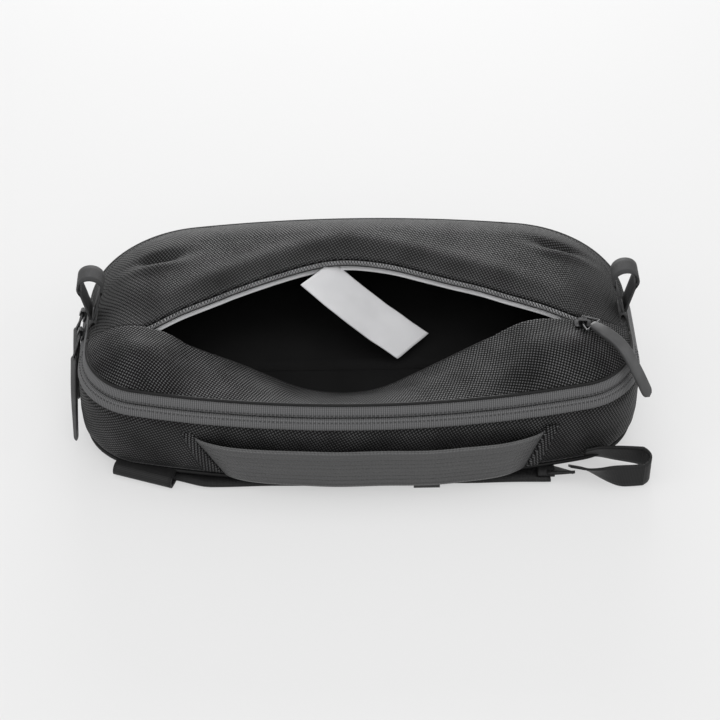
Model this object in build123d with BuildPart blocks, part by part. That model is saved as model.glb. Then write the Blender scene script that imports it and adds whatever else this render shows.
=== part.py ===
"""Sling bag lying on its back: a padded back, a zipped main compartment and an open front pocket.

Millimetres. +X is the bag's right side, +Y points to the bag's lower end and +Z goes from the back to the
front. The origin is on the surface that the bag lies on, under the middle of the bag.

The front flap is the part of the front that swings up when the main zipper is open. Everything that belongs
to it lies above the zipper's slit and on the handle's side of the fold line.
"""

import os
from math import exp, hypot, pi, sin, sqrt

from build123d import *

# ---- outline seen from the front ----
HALF_WIDTH = 172.0
Y_TOP = -95.0  # middle of the upper end, where the grab handle is
Y_BOTTOM = 93.0  # middle of the lower end
TOP_BOW = 24.5  # how far the upper end curves back at the sides
BOTTOM_BOW = 20.0
TOP_CORNER_R = 45.0
BOTTOM_CORNER_R = 78.0

# ---- heights ----
Z_BACK = 7.0  # underside of the back panel's rim
Z_WALL = 9.0  # seam between the back panel and the side wall
Z_BAND = 52.0  # seam between the side wall and the zipper band
Z_SLIT = 59.0  # where the two halves of the main zipper meet
Z_PANEL = 66.0  # seam between the zipper band and the front panel
FRONT_RISE = 16.8  # the front panel bulges this far above its seam
FRONT_SHOULDER = 34.0  # and is flat from this distance inside the seam
BAND_LEAN = 6.0  # the band leans in by this much over its height

# ---- sheets ----
FABRIC = 1.6
SEAM = 2.4  # the flap's front panel is flat for this far from its seam
LINING = 0.8
SLIT = 1.6  # gap between the main zipper's tapes
COIL = 1.4
CLEAR = 0.3  # clearance between soft pieces

# ---- front flap ----
Y_FOLD = -28.0  # fold line, level with the ends of the pocket zipper
FLAP_Y = Y_FOLD - 0.6
BODY_Y = Y_FOLD + 0.4
Y_ZIP_END = 16.0  # lower ends of the main zipper

# ---- front pocket ----
MOUTH_X = 4.0  # middle of the pocket zipper
MOUTH_HALF = 136.0
MOUTH_PEAK = (-8.0, 25.0)  # highest point of the open zipper's free half
PINCH = 6.5  # the front dips by this much at the ends of the pocket zipper
PINCH_SPREAD = 20.0
LIP_Y = -52.0  # lowest point of the drooping half
LIP_Z = 47.0
POCKET_FLOOR = 41.0
POCKET_SIDE = 22.0
POCKET_NEAR_EDGE = 60.0  # the flap's half of the pocket's back hangs from this height
POCKET_NEAR_FLOOR = 45.0
POCKET_NEAR_RUN = 15.0
POCKET_NEAR_HALF = 148.0
POCKET_INSET = 10.0
TAPE_REACH = 4.0  # how far the pocket zipper's tape stands out of the fabric

# ---- inside ----
FOAM = 3.0
SLEEVE_Z = 21.5
SLEEVE = 2.0

# ---- shoulder strap, folded under the upper end ----
STRAP_WIDTH = 38.0
STRAP = 2.0
STRAP_Y = -71.0

FAR = 400.0  # larger than the bag, for cutting blocks

TOP_R = (HALF_WIDTH**2 + TOP_BOW**2) / (2 * TOP_BOW)
BOTTOM_R = (HALF_WIDTH**2 + BOTTOM_BOW**2) / (2 * BOTTOM_BOW)
TOP_CENTRE_Y = Y_TOP + TOP_R
BOTTOM_CENTRE_Y = Y_BOTTOM - BOTTOM_R
TOP_CORNER_X = HALF_WIDTH - TOP_CORNER_R
TOP_CORNER_Y = TOP_CENTRE_Y - sqrt((TOP_R - TOP_CORNER_R) ** 2 - TOP_CORNER_X**2)
BOTTOM_CORNER_X = HALF_WIDTH - BOTTOM_CORNER_R
BOTTOM_CORNER_Y = BOTTOM_CENTRE_Y + sqrt((BOTTOM_R - BOTTOM_CORNER_R) ** 2 - BOTTOM_CORNER_X**2)

os.makedirs("parts", exist_ok=True)


def save(part, label):
    """Name one finished piece and write it."""
    part.label = label
    export_step(part, f"parts/{label}.step")


# ---- outline and surfaces ----


def plan(inset=0.0):
    """The bag's outline seen from the front, drawn in by inset."""
    with BuildSketch() as outline:
        with BuildLine():
            ThreePointArc(
                (-HALF_WIDTH, Y_TOP + TOP_BOW), (0, Y_TOP), (HALF_WIDTH, Y_TOP + TOP_BOW)
            )
            Line((HALF_WIDTH, Y_TOP + TOP_BOW), (HALF_WIDTH, Y_BOTTOM - BOTTOM_BOW))
            ThreePointArc(
                (HALF_WIDTH, Y_BOTTOM - BOTTOM_BOW),
                (0, Y_BOTTOM),
                (-HALF_WIDTH, Y_BOTTOM - BOTTOM_BOW),
            )
            Line((-HALF_WIDTH, Y_BOTTOM - BOTTOM_BOW), (-HALF_WIDTH, Y_TOP + TOP_BOW))
        make_face()
        fillet(outline.vertices().group_by(Axis.Y)[0], TOP_CORNER_R)
        fillet(outline.vertices().group_by(Axis.Y)[-1], BOTTOM_CORNER_R)
        if inset:
            offset(amount=-inset, kind=Kind.INTERSECTION)
    return outline.sketch


def edge_top(x, inset):
    """Y of the outline's upper end at x, drawn in by inset."""
    x = abs(x)
    if x > TOP_CORNER_X * (TOP_R - inset) / (TOP_R - TOP_CORNER_R):
        reach = (TOP_CORNER_R - inset) ** 2 - (x - TOP_CORNER_X) ** 2
        return TOP_CORNER_Y - sqrt(max(reach, 0))
    return TOP_CENTRE_Y - sqrt((TOP_R - inset) ** 2 - x**2)


def edge_bottom(x, inset):
    """Y of the outline's lower end at x, drawn in by inset."""
    x = abs(x)
    if x > BOTTOM_CORNER_X * (BOTTOM_R - inset) / (BOTTOM_R - BOTTOM_CORNER_R):
        reach = (BOTTOM_CORNER_R - inset) ** 2 - (x - BOTTOM_CORNER_X) ** 2
        return BOTTOM_CORNER_Y + sqrt(max(reach, 0))
    return BOTTOM_CENTRE_Y + sqrt((BOTTOM_R - inset) ** 2 - x**2)


def inside(x, y):
    """Distance of a point from the front panel's seam, positive inside."""
    x = abs(x)
    if x > TOP_CORNER_X and y < TOP_CORNER_Y:
        return TOP_CORNER_R - BAND_LEAN - hypot(x - TOP_CORNER_X, y - TOP_CORNER_Y)
    if x > BOTTOM_CORNER_X and y > BOTTOM_CORNER_Y:
        return BOTTOM_CORNER_R - BAND_LEAN - hypot(x - BOTTOM_CORNER_X, y - BOTTOM_CORNER_Y)
    to_top = TOP_R - BAND_LEAN - hypot(x, y - TOP_CENTRE_Y)
    to_bottom = BOTTOM_R - BAND_LEAN - hypot(x, y - BOTTOM_CENTRE_Y)
    return min(HALF_WIDTH - BAND_LEAN - x, to_top, to_bottom)


def front_height(x, y):
    """Height of the front panel's outer surface."""
    depth = min(max(inside(x, y) / FRONT_SHOULDER, 0), 1)
    away = hypot(abs(x - MOUTH_X) - MOUTH_HALF, y - Y_FOLD)
    pinch = PINCH * depth * exp(-((away / PINCH_SPREAD) ** 2) / 2)
    return Z_PANEL + FABRIC + FRONT_RISE * sin(depth * pi / 2) - pinch


def mouth_edge(x):
    """Y of the pocket mouth's raised edge, or of the fold line beside the mouth."""
    if abs(x - MOUTH_X) >= MOUTH_HALF:
        return Y_FOLD
    side = MOUTH_HALF if x > MOUTH_PEAK[0] else -MOUTH_HALF
    share = (x - MOUTH_X - side) / (MOUTH_PEAK[0] - MOUTH_X - side)
    return Y_FOLD + (MOUTH_PEAK[1] - Y_FOLD) * sin(share * pi / 2)


def lip(x):
    """Y and Z of the pocket mouth's drooping edge, or of the fold line beside the mouth."""
    end_height = front_height(x, Y_FOLD)
    if abs(x - MOUTH_X) >= MOUTH_HALF:
        return FLAP_Y, end_height
    share = (x - MOUTH_X + MOUTH_HALF) / (2 * MOUTH_HALF)
    droop = sin(pi * share**0.8)
    return FLAP_Y + droop * (LIP_Y - FLAP_Y), end_height + droop * (LIP_Z - end_height)


def stations(first, last, count):
    """Evenly spaced values from first to last."""
    return [first + (last - first) * i / (count - 1) for i in range(count)]


def sheet(section, xs, thickness):
    """A closed sheet through one line of points in every X plane, thickened downwards."""
    with BuildPart() as solid:
        for x in xs:
            points = section(x)
            below = [(y, z - thickness) for y, z in reversed(points)]
            with BuildSketch(Plane.YZ.offset(x)):
                Polygon(*points, *below, align=None)
        loft(ruled=True)
    return solid.part


def slab(y_range, z_range, x_range=(-FAR, FAR)):
    """A cutting block between two Y, two Z and two X values."""
    size = [high - low for low, high in (x_range, y_range, z_range)]
    middle = [(high + low) / 2 for low, high in (x_range, y_range, z_range)]
    with BuildPart() as block:
        with Locations(tuple(middle)):
            Box(*size)
    return block.part


def body_block(inset):
    """The bag's side surface as a block, drawn in by inset: upright, then leaning in along the band."""
    with BuildPart() as block:
        add(extrude(plan(inset).moved(Location((0, 0, Z_WALL))), amount=Z_BAND - Z_WALL, mode=Mode.PRIVATE))
        with BuildSketch(Plane.XY.offset(Z_BAND)):
            add(plan(inset))
        with BuildSketch(Plane.XY.offset(Z_PANEL)):
            add(plan(inset + BAND_LEAN))
        loft(ruled=True)
    return block.part


# ---- back and side walls ----

OUTER = body_block(0)
WALL = OUTER - body_block(FABRIC)
Z_TAPE_LOW = Z_SLIT - SLIT / 2
Z_TAPE_HIGH = Z_SLIT + SLIT / 2

with BuildPart() as back_panel:
    with BuildSketch(Plane.XY.offset(Z_BACK)):
        add(plan(0))
    extrude(amount=Z_WALL - Z_BACK)
    with BuildSketch():
        with Locations((0, 20)):
            RectangleRounded(262, 116, 34)
    extrude(amount=Z_BACK)
    chamfer(back_panel.faces().sort_by(Axis.Z)[0].edges(), 3)
save(back_panel.part, "back_panel")

with BuildPart() as back_foam:
    with BuildSketch(Plane.XY.offset(Z_WALL)):
        add(plan(FABRIC + CLEAR))
    extrude(amount=FOAM)
save(back_foam.part, "back_foam")

with BuildPart() as gusset_top:
    add(WALL & slab((-FAR, Y_ZIP_END), (0, Z_BAND)))
save(gusset_top.part, "gusset_top")

with BuildPart() as gusset_bottom:
    add(WALL & slab((Y_ZIP_END, FAR), (0, FAR)))
save(gusset_bottom.part, "gusset_bottom")

# ---- main zipper ----

with BuildPart() as zip_tape_back:
    add(WALL & slab((-FAR, Y_ZIP_END), (Z_BAND, Z_TAPE_LOW)))
save(zip_tape_back.part, "zip_tape_back")

with BuildPart() as zip_tape_front:
    add(WALL & slab((-FAR, FLAP_Y), (Z_TAPE_HIGH, FAR)))
save(zip_tape_front.part, "zip_tape_front")

COIL_RING = body_block(FABRIC) - body_block(FABRIC + COIL)

with BuildPart() as zip_coil_back:
    add(COIL_RING & slab((-FAR, Y_ZIP_END), (Z_TAPE_LOW - COIL, Z_TAPE_LOW)))
save(zip_coil_back.part, "zip_coil_back")

with BuildPart() as zip_coil_front:
    add(COIL_RING & slab((-FAR, FLAP_Y), (Z_TAPE_HIGH, Z_TAPE_HIGH + COIL)))
save(zip_coil_front.part, "zip_coil_front")

for side, x_range in (("left", (-FAR, 0)), ("right", (0, FAR))):
    tape_end = WALL & slab((BODY_Y, Y_ZIP_END), (Z_TAPE_HIGH, FAR), x_range)
    save(tape_end, f"zip_tape_end_{side}")
    coil_end = COIL_RING & slab((BODY_Y, Y_ZIP_END), (Z_TAPE_HIGH, Z_TAPE_HIGH + COIL), x_range)
    save(coil_end, f"zip_coil_end_{side}")

# ---- main compartment ----

LINING_Z = Z_WALL + FOAM
LINING_INSET = FABRIC + CLEAR

with BuildPart() as main_lining:
    with BuildSketch(Plane.XY.offset(LINING_Z)):
        add(plan(LINING_INSET))
    extrude(amount=Z_BAND - LINING_Z)
    with BuildSketch(Plane.XY.offset(LINING_Z + LINING)):
        add(plan(LINING_INSET + LINING))
    extrude(amount=Z_BAND, mode=Mode.SUBTRACT)
save(main_lining.part, "main_lining")

with BuildPart() as sleeve_panel:
    with BuildSketch(Plane.XY.offset(SLEEVE_Z)):
        add(plan(LINING_INSET + LINING + CLEAR))
    extrude(amount=SLEEVE)
    add(slab((-FAR, -58), (0, FAR)), mode=Mode.SUBTRACT)
save(sleeve_panel.part, "sleeve_panel")

# ---- front panel ----

SPAN = HALF_WIDTH - BAND_LEAN - 0.5
COLUMNS = stations(-SPAN, SPAN, 25)


def far_section(x):
    """The fixed front panel, from the pocket mouth or the fold line to the seam at the lower end."""
    start = max(mouth_edge(x), BODY_Y)
    return [(y, front_height(x, y)) for y in stations(start, edge_bottom(x, BAND_LEAN), 9)]


def near_section(x):
    """The flap's front panel, from its seam along the zipper to the drooping lip or the fold line."""
    y_seam, z_seam = edge_top(x, BAND_LEAN), Z_PANEL + FABRIC
    y_start, (y_end, z_end) = y_seam + SEAM, lip(x)
    slope = [(y_start + (y_end - y_start) * t, z_seam + (z_end - z_seam) * t) for t in stations(0, 1, 4)]
    return [(y_seam, z_seam)] + slope


front_panel_far = sheet(far_section, COLUMNS, FABRIC)
save(front_panel_far, "front_panel_far")
save(sheet(near_section, COLUMNS, FABRIC), "front_panel_near")

# ---- pocket zipper and lining ----

MOUTH_COLUMNS = stations(MOUTH_X - MOUTH_HALF + 12, MOUTH_X + MOUTH_HALF - 12, 15)
UNDER = FABRIC + CLEAR


def under_far(x, first, last, count, depth):
    """Points below the fixed front panel, measured in Y from the pocket mouth's raised edge."""
    edge = mouth_edge(x)
    rows = stations(edge + first, edge + last, count)
    return [(y, front_height(x, max(y, edge)) - depth) for y in rows]


save(sheet(lambda x: under_far(x, -TAPE_REACH, 6, 3, UNDER), MOUTH_COLUMNS, LINING), "pocket_zip_tape_far")
save(
    sheet(lambda x: under_far(x, -TAPE_REACH - COIL, -TAPE_REACH, 2, UNDER), MOUTH_COLUMNS, COIL),
    "pocket_coil_far",
)


def lining_section(x):
    """The lining below the fixed front panel, beyond the zipper's tape."""
    start = mouth_edge(x) + 6.5
    end = edge_bottom(x, BAND_LEAN + FABRIC + 8)
    return [(y, front_height(x, y) - UNDER) for y in stations(start, end, 4)]


save(sheet(lining_section, MOUTH_COLUMNS, LINING), "front_lining_far")


def lip_tape_section(x):
    """The drooping half of the pocket zipper, tucked under the lip."""
    y_end, z_end = lip(x)
    y_start = edge_top(x, BAND_LEAN)
    slope = (z_end - Z_PANEL - FABRIC) / (y_end - y_start)
    return [(y, z_end + slope * (y - y_end) - UNDER) for y in (y_end - 8, y_end)]


def lip_coil_section(x):
    """The coil along the drooping half of the pocket zipper."""
    y_end, z_end = lip(x)
    return [(y, z_end - UNDER) for y in (y_end, y_end + 1)]


save(sheet(lip_tape_section, MOUTH_COLUMNS, LINING), "pocket_zip_tape_near")
save(sheet(lip_coil_section, MOUTH_COLUMNS, COIL), "pocket_coil_near")

# ---- back of the pocket ----


with BuildPart() as pocket_back_far:
    with BuildSketch(Plane.XY.offset(POCKET_FLOOR)):
        add(plan(POCKET_INSET))
    extrude(amount=POCKET_SIDE)
    with BuildSketch(Plane.XY.offset(POCKET_FLOOR + LINING)):
        add(plan(POCKET_INSET + LINING))
    extrude(amount=POCKET_SIDE, mode=Mode.SUBTRACT)
    add(slab((-FAR, BODY_Y), (0, FAR)), mode=Mode.SUBTRACT)
save(pocket_back_far.part, "pocket_back_far")


def pocket_near_section(x):
    """The flap's half of the pocket's back, curving up to its edge below the front panel."""
    y_edge = edge_top(x, POCKET_INSET)
    return [
        (y_edge, POCKET_NEAR_EDGE),
        (y_edge + POCKET_NEAR_RUN, POCKET_NEAR_FLOOR),
        (FLAP_Y, POCKET_FLOOR + LINING),
    ]


NEAR_COLUMNS = stations(-POCKET_NEAR_HALF, POCKET_NEAR_HALF, 13)
save(sheet(pocket_near_section, NEAR_COLUMNS, LINING), "pocket_back_near")

# the divider hangs from the front panel and its free edge slopes down towards the lip
DIVIDER_HIGH = Vector(-36, 8, 78)
DIVIDER_LOW = Vector(24, -26.5, 46.5)
DIVIDER_FAR = Vector(44, -3, 46.5)
divider_plane = Plane(
    origin=DIVIDER_HIGH,
    x_dir=DIVIDER_LOW - DIVIDER_HIGH,
    z_dir=(DIVIDER_LOW - DIVIDER_HIGH).cross(DIVIDER_FAR - DIVIDER_HIGH),
)
with BuildPart() as pocket_divider:
    with BuildSketch(divider_plane):
        corners = [divider_plane.to_local_coords(p) for p in (DIVIDER_HIGH, DIVIDER_LOW, DIVIDER_FAR)]
        corners.append(corners[0] + corners[2] - corners[1])
        Polygon(*[(p.X, p.Y) for p in corners], align=None)
    extrude(amount=LINING)
save(pocket_divider.part, "pocket_divider")

# ---- grab handle ----

HANDLE_LEFT = -96.0
HANDLE_RIGHT = 110.0
HANDLE_BOW = 104.0  # distance of the grip's outer face from the bag's middle
HANDLE = 3.0
HANDLE_Z = (11.0, 39.0)


def wall_y(x, away):
    """Y of a point in front of the upper wall."""
    return edge_top(x, 0) - away


with BuildPart() as grab_handle:
    with BuildSketch(Plane.XY.offset(HANDLE_Z[0])):
        middle_x = (HANDLE_LEFT + HANDLE_RIGHT) / 2
        with BuildLine():
            outer = ThreePointArc(
                (HANDLE_LEFT, wall_y(HANDLE_LEFT, CLEAR + HANDLE)),
                (middle_x, -HANDLE_BOW - 1),
                (HANDLE_RIGHT, wall_y(HANDLE_RIGHT, CLEAR + HANDLE)),
            )
            inner = ThreePointArc(
                (HANDLE_LEFT, wall_y(HANDLE_LEFT, CLEAR)),
                (middle_x, -HANDLE_BOW - 1 + HANDLE),
                (HANDLE_RIGHT, wall_y(HANDLE_RIGHT, CLEAR)),
            )
            Line(outer @ 0, inner @ 0)
            Line(outer @ 1, inner @ 1)
        make_face()
    extrude(amount=HANDLE_Z[1] - HANDLE_Z[0])
save(grab_handle.part, "grab_handle")

for side, start, end in (("left", -108, HANDLE_LEFT - CLEAR), ("right", HANDLE_RIGHT + CLEAR, 122)):
    with BuildPart() as handle_tab:
        with BuildSketch(Plane.XY.offset(HANDLE_Z[0] - 1)):
            Polygon(
                (start, wall_y(start, 0)), (end, wall_y(end, 0)),
                (end, wall_y(end, 2)), (start, wall_y(start, 2)), align=None,
            )
        extrude(amount=HANDLE_Z[1] - HANDLE_Z[0] + 4)
    save(handle_tab.part - OUTER, f"handle_tab_{side}")

# ---- side loops ----

LOOP_Y = (-13.0, -3.0)
LOOP = 1.4
LOOP_FOOT_X = 163.0
LOOP_FOOT_Z = 74.6
LOOP_TOP_Z = 98.0
LOOP_R = 8.0


def teardrop(plane, foot, top, top_r, height):
    """A closed loop of webbing, drawn as two legs that run from a foot around a wide end."""
    with BuildPart() as loop:
        for shrink, mode in ((0, Mode.ADD), (LOOP, Mode.SUBTRACT)):
            with BuildSketch(plane):
                with Locations(foot):
                    Circle(1.8 - shrink)
                with Locations(top):
                    Circle(top_r - shrink)
                make_hull()
            extrude(amount=height, mode=mode)
    return loop.part


for side, sign in (("left", -1), ("right", 1)):
    foot, top = (sign * LOOP_FOOT_X, LOOP_FOOT_Z), (sign * LOOP_FOOT_X, LOOP_TOP_Z)
    loop_plane = Plane.XZ.offset(-LOOP_Y[1])
    save(teardrop(loop_plane, foot, top, LOOP_R, LOOP_Y[1] - LOOP_Y[0]), f"side_loop_{side}")
    with BuildPart() as loop_tab:
        with Locations((sign * LOOP_FOOT_X, sum(LOOP_Y) / 2, LOOP_FOOT_Z - 1.8 - CLEAR)):
            Box(4, LOOP_Y[1] - LOOP_Y[0], 4, align=(Align.CENTER, Align.CENTER, Align.MAX))
        add(front_panel_far, mode=Mode.SUBTRACT)
    save(loop_tab.solids().sort_by(Axis.Z)[-1], f"side_loop_tab_{side}")

# ---- zipper pulls ----

PIN_R = 0.8
PIN_PLAY = 0.05
PULL_WIDTH = 8.5
PULL_THICK = 4.4
LINK_HALF = 4.0  # half the length of the link's bar on the slider
BAR_HALF = 6.3  # half the length of the bar that the folded band goes round


def rod(start, end, radius):
    """A round bar from start to end."""
    with BuildPart() as bar:
        with BuildSketch(Plane(origin=start, z_dir=end - start)):
            Circle(radius)
        extrude(amount=(end - start).length)
    return bar.part


def pull_link(pin, pin_dir, bar, bar_dir):
    """A wire link from the slider's pin to the bar that the folded band goes round."""
    with BuildPart() as link:
        add(rod(pin - pin_dir * LINK_HALF, pin + pin_dir * LINK_HALF, PIN_R))
        add(rod(bar - bar_dir * BAR_HALF, bar + bar_dir * BAR_HALF, PIN_R))
        for side in (-1, 1):
            add(rod(pin + pin_dir * side * LINK_HALF, bar + bar_dir * side * BAR_HALF, PIN_R))
    return link.part


# ---- main zipper sliders, parked at the left end of the zipper ----

SLIDER_Y = {"a": 6.0, "b": -12.0}
SLIDER_LENGTH = 10.0
SLIDER_PLATE = 1.8
PIN_HEIGHT = 1.4  # the pin's axis above the slider's plate
PULL_DROP = Vector(0, -0.61, -0.79)
PULL_BAR = Vector(0, 0.79, -0.61)
PULL_LENGTH = {"a": 46.0, "b": 54.0}
PULL_REACH = {"a": (5.0, 7.9), "b": (11.0, 10.0)}  # how far the link carries the band along and below the slit

SLIDER_X = -HALF_WIDTH + BAND_LEAN * (Z_SLIT - Z_BAND) / (Z_PANEL - Z_BAND)
OUTWARD = Vector(-(Z_PANEL - Z_BAND), 0, BAND_LEAN).normalized()

for name, y in SLIDER_Y.items():
    slider_plane = Plane(origin=(SLIDER_X, y, Z_SLIT), x_dir=(0, -1, 0), z_dir=OUTWARD)
    inner_x = SLIDER_X + FABRIC + COIL + 2 * CLEAR
    inner_plane = Plane(origin=(inner_x, y, Z_SLIT), x_dir=(0, -1, 0), z_dir=OUTWARD)
    pin = slider_plane.from_local_coords((0, 0, CLEAR + SLIDER_PLATE + PIN_HEIGHT))
    along = Vector(0, 1, 0)
    with BuildPart() as slider:
        with BuildSketch(slider_plane.offset(CLEAR)):
            RectangleRounded(SLIDER_LENGTH, 8.4, 2)
        extrude(amount=SLIDER_PLATE)
        with BuildSketch(inner_plane):
            RectangleRounded(SLIDER_LENGTH, 7, 2)
        extrude(amount=-1.2)
        with Locations((SLIDER_X + 1.2, y, Z_SLIT)):
            Box(6, 4, SLIT - 2 * CLEAR)
        with BuildSketch(slider_plane.offset(CLEAR + SLIDER_PLATE)):
            Rectangle(3, 4.2)
        extrude(amount=PIN_HEIGHT + 1.6)
        add(rod(pin - along * 5, pin + along * 5, PIN_R + PIN_PLAY), mode=Mode.SUBTRACT)
    save(slider.part, f"main_slider_{name}")

    reach, drop = PULL_REACH[name]
    bar = Vector(-HALF_WIDTH - 4.2, y - reach, Z_SLIT - drop)
    save(pull_link(pin, along, bar, PULL_BAR), f"main_pull_link_{name}")
    with BuildPart() as puller:
        with BuildSketch(Plane(origin=bar - PULL_DROP * 2, x_dir=(1, 0, 0), z_dir=PULL_DROP)):
            RectangleRounded(PULL_THICK, PULL_WIDTH, 1.2)
        extrude(amount=PULL_LENGTH[name])
        hole_half = PULL_BAR * PULL_WIDTH
        add(rod(bar - hole_half, bar + hole_half, PIN_R + PIN_PLAY), mode=Mode.SUBTRACT)
    save(puller.part, f"main_puller_{name}")

# ---- pocket zipper slider, on the flap at the right end of the open pocket ----

UP = Vector(0, 0, 1)
POCKET_SLIDE = Vector(-1, 0, 0)
POCKET_PARK = (MOUTH_X + MOUTH_HALF - 4, Y_FOLD - 5, 78.2)
PULL_HEADING = Vector(0.72, -0.69, 0).normalized()
PULL_SIDE = Vector(0.69, 0.72, 0).normalized()
PULL_BEND = ((8.0, 1.0), (30.0, -3.0), (53.0, -29.0))  # run and rise of the folded band from the pin

pocket_plane = Plane(origin=POCKET_PARK, x_dir=POCKET_SLIDE, z_dir=(0, 0, 1))
pin = pocket_plane.from_local_coords((0, 0, SLIDER_PLATE + PIN_HEIGHT))
with BuildPart() as pocket_slider:
    with BuildSketch(pocket_plane):
        RectangleRounded(SLIDER_LENGTH, 7, 2)
    extrude(amount=SLIDER_PLATE)
    with BuildSketch(pocket_plane.offset(SLIDER_PLATE)):
        Rectangle(5, 3)
    extrude(amount=PIN_HEIGHT + 1.6)
    bridge = pocket_plane.y_dir * 5
    add(rod(pin - bridge, pin + bridge, PIN_R + PIN_PLAY), mode=Mode.SUBTRACT)
save(pocket_slider.part, "pocket_slider")

bar = pin + PULL_HEADING * PULL_BEND[0][0] + UP * PULL_BEND[0][1]
save(pull_link(pin, pocket_plane.y_dir * -1, bar, PULL_SIDE), "pocket_pull_link")

with BuildPart() as pocket_puller:
    bend_plane = Plane(origin=pin + PULL_SIDE * PULL_WIDTH / 2, x_dir=PULL_HEADING, z_dir=PULL_SIDE * -1)
    outward = 1 if bend_plane.y_dir.Z > 0 else -1
    start, bend, end = [Vector(run, outward * rise) for run, rise in PULL_BEND]
    with BuildSketch(bend_plane):
        with BuildLine():
            first, second = (bend - start).normalized(), (end - bend).normalized()
            across = (first.rotate(Axis.Z, 90), second.rotate(Axis.Z, 90))
            middle = (across[0] + across[1]).normalized()
            half = PULL_THICK / 2
            Polyline(
                start - first * 2 + across[0] * half, bend + middle * half * 1.1, end + across[1] * half,
                end - across[1] * half, bend - middle * half * 1.1, start - first * 2 - across[0] * half,
                close=True,
            )
        make_face()
    extrude(amount=PULL_WIDTH)
    hole_half = PULL_SIDE * PULL_WIDTH
    add(rod(bar - hole_half, bar + hole_half, PIN_R + PIN_PLAY), mode=Mode.SUBTRACT)
save(pocket_puller.part, "pocket_puller")

# ---- shoulder strap, folded flat under the upper end ----

STRAP_LOW, STRAP_MIDDLE, STRAP_HIGH = 0.1, 2.4, 4.7
STRAP_LEFT, STRAP_RIGHT = -108.0, 118.0
STRAP_HEADING = Vector(0.34, 0.94, 0)
STRAP_FOLD = Vector(-135.5, -89.0, 0)
STRAP_TURN = 46.0

with BuildPart() as shoulder_strap:
    with BuildSketch(Plane.XY.offset(STRAP_MIDDLE)):
        with Locations(((STRAP_LEFT + STRAP_RIGHT) / 2, STRAP_Y)):
            Rectangle(STRAP_RIGHT - STRAP_LEFT, STRAP_WIDTH)
    extrude(amount=STRAP)
    for z in (STRAP_LOW, STRAP_HIGH):
        with BuildSketch(Plane(origin=STRAP_FOLD + UP * z, x_dir=STRAP_HEADING, z_dir=(0, 0, 1))):
            Rectangle(STRAP_TURN, STRAP_WIDTH, align=(Align.MIN, Align.CENTER))
        extrude(amount=STRAP)
    with BuildSketch(Plane(origin=STRAP_FOLD + UP * STRAP_LOW, x_dir=STRAP_HEADING, z_dir=(0, 0, 1))):
        Rectangle(STRAP, STRAP_WIDTH, align=(Align.MAX, Align.CENTER))
    extrude(amount=STRAP_HIGH + STRAP - STRAP_LOW)
    with BuildSketch(Plane.XY.offset(STRAP_MIDDLE)):
        with Locations((STRAP_LEFT, STRAP_Y)):
            Rectangle(STRAP, STRAP_WIDTH)
    extrude(amount=STRAP_HIGH + STRAP - STRAP_MIDDLE)
save(shoulder_strap.part, "shoulder_strap")

with BuildPart() as strap_anchor:
    with Locations((STRAP_RIGHT - 5, STRAP_Y, (STRAP_MIDDLE + STRAP + Z_BACK) / 2)):
        Box(10, STRAP_WIDTH, Z_BACK - STRAP_MIDDLE - STRAP)
save(strap_anchor.part, "strap_anchor")

ADJUSTER_X = 40.0
with BuildPart() as strap_adjuster:
    ring_height = Z_BACK - 0.2
    with Locations((ADJUSTER_X, STRAP_Y, ring_height / 2 + 0.05)):
        Box(16, STRAP_WIDTH + 6, ring_height - 0.3)
        Box(16, STRAP_WIDTH + 2, STRAP + 1.6, mode=Mode.SUBTRACT)
save(strap_adjuster.part, "strap_adjuster")

# ---- webbing loop at the right end of the strap ----

STRAP_LOOP_FOOT = (133.0, -87.0)
STRAP_LOOP_TIP = (170.0, -86.5)
STRAP_LOOP_R = 7.5
STRAP_LOOP_Z = (1.0, 19.0)
STRAP_LOOP_HEIGHT = STRAP_LOOP_Z[1] - STRAP_LOOP_Z[0]
loop_base = Plane.XY.offset(STRAP_LOOP_Z[0])
strap_loop = teardrop(loop_base, STRAP_LOOP_FOOT, STRAP_LOOP_TIP, STRAP_LOOP_R, STRAP_LOOP_HEIGHT)
save(strap_loop, "strap_loop")

with BuildPart() as strap_loop_tab:
    with BuildSketch(Plane.XY.offset(STRAP_LOOP_Z[0])):
        with Locations((STRAP_LOOP_FOOT[0] - 1.8 - CLEAR, STRAP_LOOP_FOOT[1])):
            Rectangle(8, 8, align=(Align.MAX, Align.CENTER))
    extrude(amount=STRAP_LOOP_HEIGHT)
    add(OUTER, mode=Mode.SUBTRACT)
    add(back_panel.part, mode=Mode.SUBTRACT)
save(strap_loop_tab.solids().sort_by(Axis.Y)[0], "strap_loop_tab")
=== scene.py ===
import math

import bpy
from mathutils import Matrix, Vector, noise


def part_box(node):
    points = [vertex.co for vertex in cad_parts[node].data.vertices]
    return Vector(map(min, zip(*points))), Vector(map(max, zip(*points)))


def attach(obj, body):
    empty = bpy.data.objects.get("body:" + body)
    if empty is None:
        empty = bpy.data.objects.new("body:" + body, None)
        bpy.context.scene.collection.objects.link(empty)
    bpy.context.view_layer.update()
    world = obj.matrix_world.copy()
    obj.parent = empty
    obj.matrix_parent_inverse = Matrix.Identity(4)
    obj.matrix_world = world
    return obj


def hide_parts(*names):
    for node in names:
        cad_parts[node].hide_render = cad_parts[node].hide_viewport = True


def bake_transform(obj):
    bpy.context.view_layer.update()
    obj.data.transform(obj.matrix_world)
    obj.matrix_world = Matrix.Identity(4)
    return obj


# Looks for the sling bag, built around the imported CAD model. Lengths here are millimetres, and mesh() turns
# them into metres. The bag lies on its back, +Y is its lower end and -Y is the end with the grab handle.

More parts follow.
